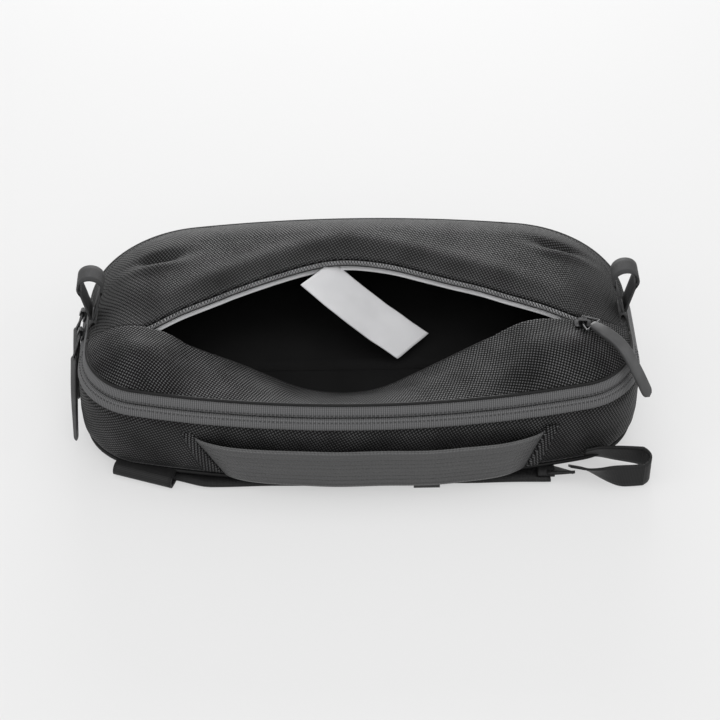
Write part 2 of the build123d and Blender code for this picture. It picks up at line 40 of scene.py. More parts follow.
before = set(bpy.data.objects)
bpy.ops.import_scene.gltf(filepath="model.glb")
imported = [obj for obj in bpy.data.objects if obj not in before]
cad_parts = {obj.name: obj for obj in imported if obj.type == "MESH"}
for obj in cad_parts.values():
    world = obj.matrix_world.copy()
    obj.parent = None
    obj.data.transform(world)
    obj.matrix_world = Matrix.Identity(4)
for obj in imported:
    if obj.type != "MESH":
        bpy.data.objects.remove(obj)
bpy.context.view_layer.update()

MM = 0.001


def corners(node):
    """Lowest and highest corner of a CAD node, in millimetres."""
    low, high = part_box(node)
    return Vector(low) / MM, Vector(high) / MM


# ---- driving dimensions, read from the CAD nodes ----

WALL_LOW, WALL_HIGH = corners("gusset_top")
BOTTOM_HIGH = corners("gusset_bottom")[1]
NEAR_HIGH = corners("front_panel_near")[1]
FAR_HIGH = corners("front_panel_far")[1]
HALF_WIDTH = WALL_HIGH.x
Y_TOP = WALL_LOW.y
Y_BOTTOM = BOTTOM_HIGH.y
Y_ZIP_END = WALL_HIGH.y
Z_WALL = WALL_LOW.z
Z_BAND = WALL_HIGH.z
Z_PANEL = BOTTOM_HIGH.z
Z_SLIT = (corners("zip_tape_back")[1].z + corners("zip_tape_front")[0].z) / 2
Z_FRONT = FAR_HIGH.z
Y_FOLD = NEAR_HIGH.y + 0.6
LEAN = 6.0  # the zipper band leans in by this much over its height
TOP_BOW, BOTTOM_BOW = 24.5, 20.0
TOP_CORNER_R, BOTTOM_CORNER_R = 45.0, 78.0
FABRIC = 1.3
SEAM_LIFT = 1.6  # the front panel's seam stands this far above the band
SHOULDER = 34.0

MOUTH_X, MOUTH_HALF = 4.0, 136.0
MOUTH_PEAK = (-8.0, 31.0)
LIP_LOW = (-57.0, 45.6)

TOP_R = (HALF_WIDTH**2 + TOP_BOW**2) / (2 * TOP_BOW)
BOTTOM_R = (HALF_WIDTH**2 + BOTTOM_BOW**2) / (2 * BOTTOM_BOW)
TOP_CENTRE_Y = Y_TOP + TOP_R
BOTTOM_CENTRE_Y = Y_BOTTOM - BOTTOM_R
TOP_CORNER_X = HALF_WIDTH - TOP_CORNER_R
TOP_CORNER_Y = TOP_CENTRE_Y - math.sqrt((TOP_R - TOP_CORNER_R) ** 2 - TOP_CORNER_X**2)
BOTTOM_CORNER_X = HALF_WIDTH - BOTTOM_CORNER_R
BOTTOM_CORNER_Y = BOTTOM_CENTRE_Y + math.sqrt((BOTTOM_R - BOTTOM_CORNER_R) ** 2 - BOTTOM_CORNER_X**2)
TOP_TURN = math.atan2(TOP_CORNER_X, TOP_CENTRE_Y - TOP_CORNER_Y)
BOTTOM_TURN = math.atan2(BOTTOM_CORNER_X, BOTTOM_CORNER_Y - BOTTOM_CENTRE_Y)

# lengths of the stretches of half the outline, from the middle of the upper end
ARC_TOP = TOP_R * TOP_TURN
ARC_TOP_CORNER = TOP_CORNER_R * (math.pi / 2 - TOP_TURN)
SIDE = BOTTOM_CORNER_Y - TOP_CORNER_Y
ARC_BOTTOM_CORNER = BOTTOM_CORNER_R * (math.pi / 2 - BOTTOM_TURN)
ARC_BOTTOM = BOTTOM_R * BOTTOM_TURN
HALF_RIM = ARC_TOP + ARC_TOP_CORNER + SIDE + ARC_BOTTOM_CORNER + ARC_BOTTOM


# ---- shapes ----


def rim(s):
    """Point and outward normal on the outline at s millimetres from the middle of the upper end."""
    side, s = (1 if s >= 0 else -1), abs(s)
    if s < ARC_TOP:
        turn = s / TOP_R
        centre, radius, normal = (0, TOP_CENTRE_Y), TOP_R, (math.sin(turn), -math.cos(turn))
    elif s < ARC_TOP + ARC_TOP_CORNER:
        turn = TOP_TURN + (s - ARC_TOP) / TOP_CORNER_R
        centre, radius = (TOP_CORNER_X, TOP_CORNER_Y), TOP_CORNER_R
        normal = (math.sin(turn), -math.cos(turn))
    elif s < ARC_TOP + ARC_TOP_CORNER + SIDE:
        centre = (0, TOP_CORNER_Y + s - ARC_TOP - ARC_TOP_CORNER)
        radius, normal = HALF_WIDTH, (1, 0)
    elif s < HALF_RIM - ARC_BOTTOM:
        turn = (s - ARC_TOP - ARC_TOP_CORNER - SIDE) / BOTTOM_CORNER_R
        centre, radius = (BOTTOM_CORNER_X, BOTTOM_CORNER_Y), BOTTOM_CORNER_R
        normal = (math.cos(turn), math.sin(turn))
    else:
        turn = (HALF_RIM - s) / BOTTOM_R
        centre, radius, normal = (0, BOTTOM_CENTRE_Y), BOTTOM_R, (math.sin(turn), math.cos(turn))
    point = Vector((centre[0] + radius * normal[0], centre[1] + radius * normal[1], 0))
    return Vector((side * point.x, point.y, 0)), Vector((side * normal[0], normal[1], 0))


def rim_past_end(s):
    """The same for s that may run on past the middle of the lower end, up the other side."""
    return rim(s) if s <= HALF_RIM else rim(s - 2 * HALF_RIM)


def rim_at_side(y):
    """Distance along the outline to the height y on the bag's side."""
    if y <= BOTTOM_CORNER_Y:
        return ARC_TOP + ARC_TOP_CORNER + y - TOP_CORNER_Y
    turn = math.asin((y - BOTTOM_CORNER_Y) / BOTTOM_CORNER_R)
    return ARC_TOP + ARC_TOP_CORNER + SIDE + turn * BOTTOM_CORNER_R


def edge_top(x, inset):
    """Y of the outline's upper end at x, drawn in by inset."""
    x = abs(x)
    if x > TOP_CORNER_X * (TOP_R - inset) / (TOP_R - TOP_CORNER_R):
        return TOP_CORNER_Y - math.sqrt(max((TOP_CORNER_R - inset) ** 2 - (x - TOP_CORNER_X) ** 2, 0))
    return TOP_CENTRE_Y - math.sqrt((TOP_R - inset) ** 2 - x**2)


def edge_bottom(x, inset):
    """Y of the outline's lower end at x, drawn in by inset."""
    x = abs(x)
    if x > BOTTOM_CORNER_X * (BOTTOM_R - inset) / (BOTTOM_R - BOTTOM_CORNER_R):
        reach = (BOTTOM_CORNER_R - inset) ** 2 - (x - BOTTOM_CORNER_X) ** 2
        return BOTTOM_CORNER_Y + math.sqrt(max(reach, 0))
    return BOTTOM_CENTRE_Y + math.sqrt((BOTTOM_R - inset) ** 2 - x**2)


def inside(x, y):
    """Distance of a point from the front panel's seam, positive inside."""
    x = abs(x)
    if x > TOP_CORNER_X and y < TOP_CORNER_Y:
        return TOP_CORNER_R - LEAN - math.hypot(x - TOP_CORNER_X, y - TOP_CORNER_Y)
    if x > BOTTOM_CORNER_X and y > BOTTOM_CORNER_Y:
        return BOTTOM_CORNER_R - LEAN - math.hypot(x - BOTTOM_CORNER_X, y - BOTTOM_CORNER_Y)
    to_top = TOP_R - LEAN - math.hypot(x, y - TOP_CENTRE_Y)
    to_bottom = BOTTOM_R - LEAN - math.hypot(x, y - BOTTOM_CENTRE_Y)
    return min(HALF_WIDTH - LEAN - x, to_top, to_bottom)


def smooth(t):
    """Smooth step from 0 to 1."""
    t = min(max(t, 0), 1)
    return t * t * (3 - 2 * t)


def bump(x, y, centre, size):
    """A round hill of height 1 at centre."""
    return math.exp(-(((x - centre[0]) / size[0]) ** 2 + ((y - centre[1]) / size[1]) ** 2))


def ripple(x, y, z=0.0, scale=40.0):
    """Gentle unevenness of cloth, about -1 to 1."""
    return noise.noise(Vector((x, y, z)) / scale)


def mesh(name, points, faces, uvs=None):
    """A mesh object from points in millimetres, with an optional (u, v) in millimetres for each point."""
    data = bpy.data.meshes.new(name)
    data.from_pydata([Vector(p) * MM for p in points], [], faces)
    if uvs:
        layer = data.uv_layers.new(name="UVMap")
        for loop in data.loops:
            layer.data[loop.index].uv = uvs[loop.vertex_index]
    data.shade_smooth()
    data.update()
    piece = bpy.data.objects.new(name, data)
    bpy.context.scene.collection.objects.link(piece)
    return piece


def grid(name, rows, columns, place, uv=None, flip=False):
    """A sheet of rows by columns; place(r, c) gives each point for r and c from 0 to 1."""
    points, uvs, faces = [], [], []
    for i in range(rows + 1):
        for j in range(columns + 1):
            points.append(Vector(place(i / rows, j / columns)))
            uvs.append(uv(i / rows, j / columns) if uv else (0, 0))
    if not uv:
        uvs = measured_uvs(points, rows, columns)
    for i in range(rows):
        for j in range(columns):
            a = i * (columns + 1) + j
            quad = (a, a + 1, a + columns + 2, a + columns + 1)
            faces.append(quad[::-1] if flip else quad)
    return mesh(name, points, faces, uvs)


def measured_uvs(points, rows, columns):
    """UVs in millimetres: across each row from its middle, and down each column from its middle."""
    width = columns + 1
    uvs = [[0.0, 0.0] for _ in points]
    for i in range(rows + 1):
        for j in range(columns // 2, columns):
            step = (points[i * width + j + 1] - points[i * width + j]).length
            uvs[i * width + j + 1][0] = uvs[i * width + j][0] + step
        for j in range(columns // 2, 0, -1):
            step = (points[i * width + j - 1] - points[i * width + j]).length
            uvs[i * width + j - 1][0] = uvs[i * width + j][0] - step
    for j in range(width):
        for i in range(rows // 2, rows):
            step = (points[(i + 1) * width + j] - points[i * width + j]).length
            uvs[(i + 1) * width + j][1] = uvs[i * width + j][1] + step
        for i in range(rows // 2, 0, -1):
            step = (points[(i - 1) * width + j] - points[i * width + j]).length
            uvs[(i - 1) * width + j][1] = uvs[i * width + j][1] - step
    return uvs


def thicken(piece, thickness, offset=-1.0):
    """Give a sheet its thickness, below its surface unless offset says otherwise."""
    solid = piece.modifiers.new("thickness", "SOLIDIFY")
    solid.thickness = thickness * MM
    solid.offset = offset
    solid.use_even_offset = True
    return piece


def soften(piece):
    """Smooth a piece with one subdivision."""
    piece.modifiers.new("smooth", "SUBSURF").levels = 1
    piece.modifiers[-1].render_levels = 1


def ribbon(name, path, across, width, thickness, steps_across=4):
    """Webbing along a path; across(i) gives its width direction at point i, and it is solid."""
    total, lengths = 0.0, [0.0]
    for before, after in zip(path, path[1:]):
        total += (Vector(after) - Vector(before)).length
        lengths.append(total)

    def place(r, c):
        i = round(r * (len(path) - 1))
        return Vector(path[i]) + across(i).normalized() * width * (c - 0.5)

    def uv(r, c):
        along = lengths[round(r * (len(path) - 1))]
        return ((c - 0.5) * width, along)

    piece = grid(name, len(path) - 1, steps_across, place, uv)
    return thicken(piece, thickness, 0.0)


def curve_points(controls, count):
    """Points on a smooth curve through the controls (Catmull-Rom)."""
    controls = [Vector(p) for p in controls]
    ends = [controls[0] * 2 - controls[1]] + controls + [controls[-1] * 2 - controls[-2]]
    points = []
    for k in range(count + 1):
        t = k / count * (len(controls) - 1)
        i = min(int(t), len(controls) - 2)
        f = t - i
        p0, p1, p2, p3 = ends[i : i + 4]
        points.append(
            0.5
            * (2 * p1 + (p2 - p0) * f + (2 * p0 - 5 * p1 + 4 * p2 - p3) * f**2
               + (3 * p1 - p0 - 3 * p2 + p3) * f**3)
        )
    return points


def tube(name, path, radius, sides=10, closed=False):
    """A round wire along a path."""
    points, faces = [], []
    path = [Vector(p) for p in path]
    count = len(path)
    reference = Vector((0.13, 0.31, 0.94))
    for i, point in enumerate(path):
        before = path[i - 1] if i or closed else point
        after = path[(i + 1) % count] if i < count - 1 or closed else point
        tangent = (after - before).normalized()
        side = tangent.cross(reference).normalized()
        up = side.cross(tangent)
        for k in range(sides):
            turn = 2 * math.pi * k / sides
            points.append(point + (side * math.cos(turn) + up * math.sin(turn)) * radius)
    for i in range(count if closed else count - 1):
        for k in range(sides):
            a, b = i * sides + k, i * sides + (k + 1) % sides
            c, d = (a + sides) % (count * sides), (b + sides) % (count * sides)
            faces.append((a, b, d, c))
    if not closed:
        faces.append(tuple(range(sides))[::-1])
        faces.append(tuple(range((count - 1) * sides, count * sides)))
    return mesh(name, points, faces)


def join(name, pieces):
    """Join mesh pieces into one, with their modifiers applied."""
    graph = bpy.context.evaluated_depsgraph_get()
    points, faces, uvs = [], [], []
    for piece in pieces:
        graph.update()
        data = bpy.data.meshes.new_from_object(piece.evaluated_get(graph))
        base = len(points)
        points += [vertex.co / MM for vertex in data.vertices]
        layer = data.uv_layers[0].data if data.uv_layers else None
        vertex_uv = {}
        for polygon in data.polygons:
            faces.append([base + v for v in polygon.vertices])
            for loop in polygon.loop_indices:
                vertex_uv[data.loops[loop].vertex_index] = tuple(layer[loop].uv) if layer else (0, 0)
        uvs += [vertex_uv.get(i, (0, 0)) for i in range(len(data.vertices))]
        bpy.data.objects.remove(piece)
    return mesh(name, points, faces, uvs)


# ---- materials ----


class Nodes:
    """A new material with short calls for its nodes."""

    def __init__(self, name, colour, roughness, **sockets):
        self.material = bpy.data.materials.new(name)
        self.material.use_nodes = True
        self.tree = self.material.node_tree
        self.shader = self.tree.nodes["Principled BSDF"]
        self.shader.inputs["Base Color"].default_value = (*colour, 1)
        self.shader.inputs["Roughness"].default_value = roughness
        for key, value in sockets.items():
            self.shader.inputs[key.replace("_", " ")].default_value = value

    def node(self, kind, **settings):
        made = self.tree.nodes.new(kind)
        for key, value in settings.items():
            setattr(made, key, value)
        return made

    def plug(self, value, socket):
        if isinstance(value, (int, float, tuple)):
            socket.default_value = value
        else:
            self.tree.links.new(value, socket)

    def math(self, operation, a, b=0.0):
        made = self.node("ShaderNodeMath", operation=operation)
        for value, socket in zip((a, b), made.inputs):
            self.plug(value, socket)
        return made.outputs[0]

    def uv(self):
        """U and V in millimetres."""
        split = self.node("ShaderNodeSeparateXYZ")
        self.tree.links.new(self.node("ShaderNodeUVMap").outputs[0], split.inputs[0])
        return split.outputs[0], split.outputs[1]

    def noise(self, scale, detail=2.0):
        """Noise in the piece's own space; scale is in features per metre."""
        made = self.node("ShaderNodeTexNoise")
        made.inputs["Scale"].default_value = scale
        made.inputs["Detail"].default_value = detail
        self.tree.links.new(self.node("ShaderNodeTexCoord").outputs["Object"], made.inputs["Vector"])
        return made.outputs[0]

    def ramp(self, value, low, high, *colours):
        """Blend from the first colour to the last as value goes from low to high."""
        made = self.node("ShaderNodeValToRGB")
        made.color_ramp.elements[0].position = low
        made.color_ramp.elements[1].position = high
        made.color_ramp.elements[0].color = (*colours[0], 1)
        made.color_ramp.elements[1].color = (*colours[1], 1)
        self.plug(value, made.inputs[0])
        return made.outputs[0]

    def colour(self, value, low, high, *colours):
        self.tree.links.new(self.ramp(value, low, high, *colours), self.shader.inputs["Base Color"])

    def roughness(self, value, low, high):
        made = self.node("ShaderNodeMapRange")
        made.inputs["To Min"].default_value = low
        made.inputs["To Max"].default_value = high
        self.plug(value, made.inputs["Value"])
        self.tree.links.new(made.outputs[0], self.shader.inputs["Roughness"])

    def bump(self, height, depth):
        """Bump of a height from 0 to 1 that stands for depth millimetres."""
        made = self.node("ShaderNodeBump")
        made.inputs["Strength"].default_value = 1.0
        made.inputs["Distance"].default_value = depth * MM
        self.plug(height, made.inputs["Height"])
        self.tree.links.new(made.outputs[0], self.shader.inputs["Normal"])

    def ridge(self, value, pitch, sharp=1.0):
        """Round ridges along a length, 0 in the grooves and 1 on top."""
        wave = self.math("SINE", self.math("MULTIPLY", value, math.pi / pitch))
        return self.math("POWER", self.math("ABSOLUTE", wave), sharp)


def basket_weave(name, pitch, dark, light, turn, specular=0.13):
    """Coarse ballistic weave: warp and weft bundles pass over each other in turn. The light colour on the
    thread tops is a painted glint over the black cloth.
    """
    made = Nodes(name, dark, 0.5, Specular_IOR_Level=specular, Sheen_Weight=0.01, Sheen_Roughness=0.4)
    u, v = made.uv()
    cos_turn, sin_turn = math.cos(turn), math.sin(turn)
    along = made.math("ADD", made.math("MULTIPLY", u, cos_turn), made.math("MULTIPLY", v, sin_turn))
    across = made.math("SUBTRACT", made.math("MULTIPLY", v, cos_turn), made.math("MULTIPLY", u, sin_turn))
    cell_a = made.math("FLOOR", made.math("DIVIDE", along, pitch))
    cell_b = made.math("FLOOR", made.math("DIVIDE", across, pitch))
    over = made.math("ABSOLUTE", made.math("MODULO", made.math("ADD", cell_a, cell_b), 2.0))
    ridge_a, ridge_b = made.ridge(along, pitch, 0.7), made.ridge(across, pitch, 0.7)
    warp = made.math("MULTIPLY", made.math("POWER", ridge_a, 0.35), ridge_b)
    weft = made.math("MULTIPLY", made.math("POWER", ridge_b, 0.35), ridge_a)
    chosen = made.math(
        "ADD", made.math("MULTIPLY", over, warp),
        made.math("MULTIPLY", made.math("SUBTRACT", 1.0, over), weft),
    )
    patch = made.noise(45.0)
    # painted glints: the thread tops take the light colour, stronger in some patches than in others
    uneven = made.math("MULTIPLY", chosen, made.math("ADD", 0.75, made.math("MULTIPLY", patch, 0.5)))
    made.colour(uneven, 0.68, 1.1, dark, light)
    made.roughness(chosen, 0.8, 0.45)
    made.bump(chosen, 0.35)
    return made.material


def ribbed(name, colour, light, pitch, depth=0.15, roughness=0.5, specular=0.2, highlight_stripes=None):
    """Narrow cross ribs of woven tape, with optional lengthwise ridges. The rib tops and the ridges take the
    light colour, a painted highlight over the tape's own colour.
    """
    made = Nodes(name, colour, roughness, Specular_IOR_Level=specular)
    u, v = made.uv()
    height = made.ridge(v, pitch, 0.8)
    fine = made.ridge(u, pitch * 0.8, 0.6)
    height = made.math("MULTIPLY", height, made.math("ADD", 0.6, made.math("MULTIPLY", fine, 0.4)))
    # painted highlight: the colour follows the height of the ribs and of the lengthwise ridges
    if highlight_stripes:
        height = made.math("ADD", height, made.math("MULTIPLY", made.ridge(u, highlight_stripes, 0.6), 1.6))
        made.colour(height, 0.2, 2.4, colour, light)
    else:
        made.colour(height, 0.1, 1.0, colour, light)
    made.roughness(made.noise(60.0), roughness - 0.08, roughness + 0.12)
    made.bump(height, depth)
    return made.material


THREAD_PITCH = 0.5  # of the lining cloth


def plain_weave(name, dark, light, specular=0.3):
    """Fine lining cloth with faint creases. The thread tops and the creases are painted lighter and darker,
    as painted shade and highlight.
    """
    made = Nodes(name, dark, 0.8, Specular_IOR_Level=specular)
    u, v = made.uv()
    threads = made.math("MULTIPLY", made.ridge(u, THREAD_PITCH, 0.8), made.ridge(v, THREAD_PITCH, 0.8))
    soft = made.noise(25.0, 3.0)
    # painted shade and highlight: the colour follows the threads and the creases' relief
    made.colour(made.math("ADD", made.math("MULTIPLY", threads, 0.35), soft), 0.3, 1.0, dark, light)
    made.bump(made.math("ADD", threads, made.math("MULTIPLY", soft, 3.0)), 0.06)
    return made.material


def coated(name, dark, light, roughness=0.45):
    """Matte rubber-coated cloth of the zipper pulls, with a fine grain."""
    made = Nodes(name, dark, roughness)
    grain = made.noise(2200.0, 3.0)
    made.colour(made.noise(120.0), 0.3, 0.8, dark, light)
    made.roughness(grain, roughness - 0.08, roughness + 0.15)
    made.bump(grain, 0.05)
    return made.material


def satin_metal(name, colour):
    """Black plated metal with faint wear."""
    made = Nodes(name, colour, 0.35, Metallic=1.0)
    wear = made.noise(400.0, 4.0)
    made.colour(wear, 0.4, 0.8, colour, tuple(c * 1.8 for c in colour))
    made.roughness(wear, 0.35 - 0.08, 0.35 + 0.12)
    made.bump(wear, 0.02)
    return made.material


HOLE_PITCH = 2.2  # of the back mesh


def spacer_mesh(name, dark, light):
    """Padded back mesh with rows of small holes; the hollows are painted darker, as painted shade."""
    made = Nodes(name, dark, 0.85, Sheen_Weight=0.2)
    place = made.node("ShaderNodeSeparateXYZ")
    made.tree.links.new(made.node("ShaderNodeTexCoord").outputs["Object"], place.inputs[0])
    x = made.math("MULTIPLY", place.outputs[0], 1 / MM)
    y = made.math("MULTIPLY", place.outputs[1], 1 / MM)
    holes = made.math("MULTIPLY", made.ridge(x, HOLE_PITCH), made.ridge(y, HOLE_PITCH))
    # painted shade: the hollows of the mesh take the dark colour
    made.colour(holes, 0.2, 0.6, dark, light)
    made.bump(holes, 0.4)
    return made.material


def foam_grain(name, dark, light):
    """Closed-cell foam; the cell pits are painted darker, as painted shade."""
    made = Nodes(name, dark, 0.9)
    cells = made.node("ShaderNodeTexVoronoi")
    cells.inputs["Scale"].default_value = 900.0
    made.tree.links.new(made.node("ShaderNodeTexCoord").outputs["Object"], cells.inputs["Vector"])
    # painted shade: the colour darkens towards each cell's pit
    made.colour(cells.outputs["Distance"], 0.0, 0.6, dark, light)
    made.bump(cells.outputs["Distance"], 0.15)
    return made.material


def grey(value):
    return (value, value, value * 1.02)


# the light colour of both weaves is a painted glint on the thread tops; the bias weave paints brighter glints
BALLISTIC = basket_weave("ballistic_nylon", 1.75, grey(0.0003), grey(0.055), turn=0.5, specular=0.2)
BALLISTIC_TURNED = basket_weave("ballistic_nylon_bias", 1.75, grey(0.0003), grey(0.085), turn=-0.4)
ZIP_TAPE = ribbed("zipper_tape", grey(0.04), grey(0.13), 1.3, depth=0.2, roughness=0.6)
ZIP_COIL = coated("zipper_coil", grey(0.012), grey(0.03), 0.35)
TEETH = coated("pocket_teeth", grey(0.16), grey(0.3), 0.4)
PIPING = coated("pocket_piping", grey(0.03), grey(0.06), 0.5)
WEBBING = ribbed("webbing", grey(0.003), grey(0.018), 0.9, depth=0.12, roughness=0.5)
LOOP_TAPE = ribbed("loop_tape", grey(0.02), grey(0.05), 0.5, depth=0.08, roughness=0.6)
# the grip's lengthwise ridges are painted as light highlight lines
GRIP = ribbed(
    "grip_webbing", grey(0.002), grey(0.03), 2.0, depth=0.25, roughness=0.36, specular=0.8, highlight_stripes=3.2,
)
PULL = coated("pull_rubber", grey(0.03), grey(0.05))
METAL = satin_metal("black_metal", grey(0.05))
PLASTIC = coated("black_plastic", grey(0.01), grey(0.02), 0.35)
THREAD = coated("thread", grey(0.02), grey(0.04), 0.6)
SEAM_CLOTH = ribbed("seam_cloth", grey(0.006), grey(0.03), 0.9, depth=0.2)
LIGHT_LINING = plain_weave("light_lining", grey(0.42), grey(0.58))
DARK_LINING = plain_weave("dark_lining", grey(0.002), grey(0.005), specular=0.1)
BACK_MESH = spacer_mesh("back_mesh", grey(0.012), grey(0.04))
FOAM = foam_grain("foam", grey(0.06), grey(0.1))


def dress(piece, material, slot, body, *nodes):
    """Give a piece its material, the CAD nodes it replaces and the body it rides on; the slot is not used."""
    piece.data.materials.clear()
    piece.data.materials.append(material)
    if nodes:
        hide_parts(*nodes)
    if body:
        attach(piece, body)
    return piece


def dress_flap(piece, material, slot, *nodes):
    """The same for a piece of the front flap beside the fold line; it rides on no body, and its transform is
    baked in.
    """
    dress(piece, material, slot, None, *nodes)
    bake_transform(piece)
    return piece


# ---- side walls ----

S_ZIP_END = rim_at_side(Y_ZIP_END)


def band_lean(z):
    """How far the zipper band has leaned in at a height."""
    return (z - Z_BAND) * LEAN / (Z_PANEL - Z_BAND)


def wall_inset(z, s):
    """Inward offset of the wall's surface at a height: tucked in at the foot, slightly full above it."""
    foot = 3.2 * (1 - smooth((z - Z_WALL + 1.5) / 9))
    lean = max(z - Z_BAND, 0) * LEAN / (Z_PANEL - Z_BAND)
    full = 1.3 * math.sin(math.pi * min(max((z - Z_WALL) / (Z_BAND - Z_WALL), 0), 1))
    uneven = 0.55 * ripple(s, z * 1.5, 3.0, 30.0) + 0.35 * ripple(s, z * 2, 9.0, 12.0)
    under_band = 1.7 * smooth((z - Z_BAND + 5.0) / 4.5) if z <= Z_BAND + 1 and abs(s) < S_ZIP_END else 0
    height = min((z - Z_WALL) / (Z_BAND - Z_WALL), 1)
    return foot + lean - full + under_band - uneven * math.sin(math.pi * height)


def wall_sheet(name, s_start, s_end, z_low, z_high, columns, rows):
    """Part of the side wall between two places on the outline."""

    def place(r, c):
        s = s_start + (s_end - s_start) * c
        z = z_low + (z_high - z_low) * r
        point, normal = rim(s)
        point = point - normal * wall_inset(z, s)
        return Vector((point.x, point.y, z))

    return thicken(grid(name, rows, columns, place, flip=s_end < s_start), FABRIC)


def far_rim(t):
    """Distance along the outline for t from 0 to 1 round the lower end, from one zipper end to the other."""
    return S_ZIP_END + (2 * (HALF_RIM - S_ZIP_END)) * t


def far_wall():
    """The lower end's wall; its outline runs past the middle of the lower end, where the sides swap."""

    def place(r, c):
        s = far_rim(c)
        z = Z_WALL - 1 + (Z_PANEL + 1 - Z_WALL) * r
        point, normal = rim_past_end(s)
        point = point - normal * wall_inset(z, s)
        return Vector((point.x, point.y, z))

    return thicken(grid("gusset_bottom_cloth", 22, 150, place), FABRIC)


near_wall = wall_sheet("gusset_top_cloth", -S_ZIP_END, S_ZIP_END, Z_WALL - 1, Z_BAND + 0.4, 180, 18)
dress(near_wall, BALLISTIC, "bag_fabric", "bag_back", "gusset_top")
dress(far_wall(), BALLISTIC, "bag_fabric", "bag_back", "gusset_bottom")


# ---- main zipper ----


def band_strip(name, s_start, s_end, z_low, z_high, lips, columns=200):
    """One tape of the main zipper; it rolls in at the slit, and stands proud of the wall's seam."""
    roll = [(0.0, 0.0), (0.08, 0.7), (0.3, 1.0), (0.6, 1.0), (0.85, 0.75), (0.96, 0.2), (1.0, -0.7)]
    if not lips:
        roll = [(1 - share, proud) for share, proud in reversed(roll)]

    def place(r, c):
        s = s_start + (s_end - s_start) * c
        share, proud = roll[round(r * (len(roll) - 1))]
        z = z_low + (z_high - z_low) * share
        point, normal = rim(s)
        lean = band_lean(z)
        point = point - normal * (lean - proud * 1.3 - 0.15 * ripple(s, z, 5.0, 18.0))
        return Vector((point.x, point.y, z))

    def uv(r, c):
        share = roll[round(r * (len(roll) - 1))][0]
        return (share * (z_high - z_low), s_start + (s_end - s_start) * c)

    return thicken(grid(name, len(roll) - 1, columns, place, uv), 1.0)


S_FOLD = rim_at_side(Y_FOLD)
lower_tape = band_strip("zip_tape_back_cloth", -S_ZIP_END, S_ZIP_END, Z_BAND, Z_SLIT - 0.25, True)
dress(lower_tape, ZIP_TAPE, "zip_tape", "bag_back", "zip_tape_back")
upper_tape = band_strip("zip_tape_front_cloth", -S_FOLD, S_FOLD, Z_SLIT + 0.25, Z_PANEL + 0.6, False)
dress_flap(upper_tape, ZIP_TAPE, "zip_tape", "zip_tape_front")
for side, sign in (("left", -1), ("right", 1)):
    tape_end = band_strip(
        f"zip_tape_end_{side}_cloth", *sorted((sign * S_FOLD, sign * S_ZIP_END)),
        Z_SLIT + 0.25, Z_PANEL + 0.6, False, 24,
    )
    dress(tape_end, ZIP_TAPE, "zip_tape", "bag_back", f"zip_tape_end_{side}")


def coil(name, place, length, pitch=1.3, radius=0.62, sides=5):
    """A zipper's coil as one helix; place(s) gives a point, the way across the tape and the way up."""
    path = []
    for k in range(int(length / pitch * 8)):
        s = k * pitch / 8
        point, across, up = place(s)
        turn = 2 * math.pi * k / 8
        path.append(point + across * radius * math.cos(turn) * 1.5 + up * radius * math.sin(turn) * 0.8)
    return tube(name, path, 0.3, sides)


def band_coil(name, s_start, s_end, z):
    def place(s):
        point, normal = rim(s_start + s)
        lean = band_lean(z) + 2.4
        point = point - normal * lean
        return Vector((point.x, point.y, z)), Vector((0, 0, 1)), normal

    return coil(name, place, s_end - s_start)


lower_coil = band_coil("zip_coil_back_helix", -S_ZIP_END, S_ZIP_END, Z_SLIT - 1.5)
dress(lower_coil, ZIP_COIL, "zip_coil", "bag_back", "zip_coil_back")
upper_coil = band_coil("zip_coil_front_helix", -S_FOLD, S_FOLD, Z_SLIT + 1.5)
dress_flap(upper_coil, ZIP_COIL, "zip_coil", "zip_coil_front")
for side, sign in (("left", -1), ("right", 1)):
    ends = sorted((sign * S_FOLD, sign * S_ZIP_END))
    end_coil = band_coil(f"zip_coil_end_{side}_helix", *ends, Z_SLIT + 1.5)
    dress(end_coil, ZIP_COIL, "zip_coil", "bag_back", f"zip_coil_end_{side}")


# ---- front panel ----

FRONT_RISE = Z_FRONT - Z_PANEL - SEAM_LIFT


def front_height(x, y):
    """Height of the front panel: a soft dome, pinched at the ends of the pocket zipper."""
    depth = min(max(inside(x, y) / SHOULDER, 0), 1)
    z = Z_PANEL + SEAM_LIFT + FRONT_RISE * math.sin(depth * math.pi / 2)
    away = math.hypot(abs(x - MOUTH_X) - MOUTH_HALF, y - Y_FOLD)
    z -= 6.5 * depth * math.exp(-((away / 20) ** 2) / 2)
    return z


# the front panel's two dents, each with its middle and the slope of its crease
DENTS = (((-124.0, 30.0), 0.25), ((127.0, 37.0), -0.35))


def front_surface(x, y):
    """The front panel's height with its creases and soft waves."""
    z = front_height(x, y)
    depth = min(max(inside(x, y) / 30, 0), 1)
    z += 0.8 * depth * ripple(x, y, 1.0, 38.0) + 0.25 * depth * ripple(x, y, 7.0, 14.0)
    for centre, slope in DENTS:
        y_local = y - centre[1] - slope * (x - centre[0])
        z -= 5.0 * bump(x, y_local, (centre[0], 0.0), (14.0, 4.2))
        z += 1.8 * bump(x, y_local, (centre[0], -8.5), (17.0, 4.0))
    if y > Y_FOLD:
        from_mouth = max(y - mouth_edge(x), 0)
        middle = smooth((MOUTH_HALF - abs(x - MOUTH_X)) / 50)
        z -= 3.6 * middle * math.exp(-((from_mouth / 11) ** 2))
        z += 0.9 * middle * math.exp(-(((from_mouth - 17) / 7) ** 2))
    return z


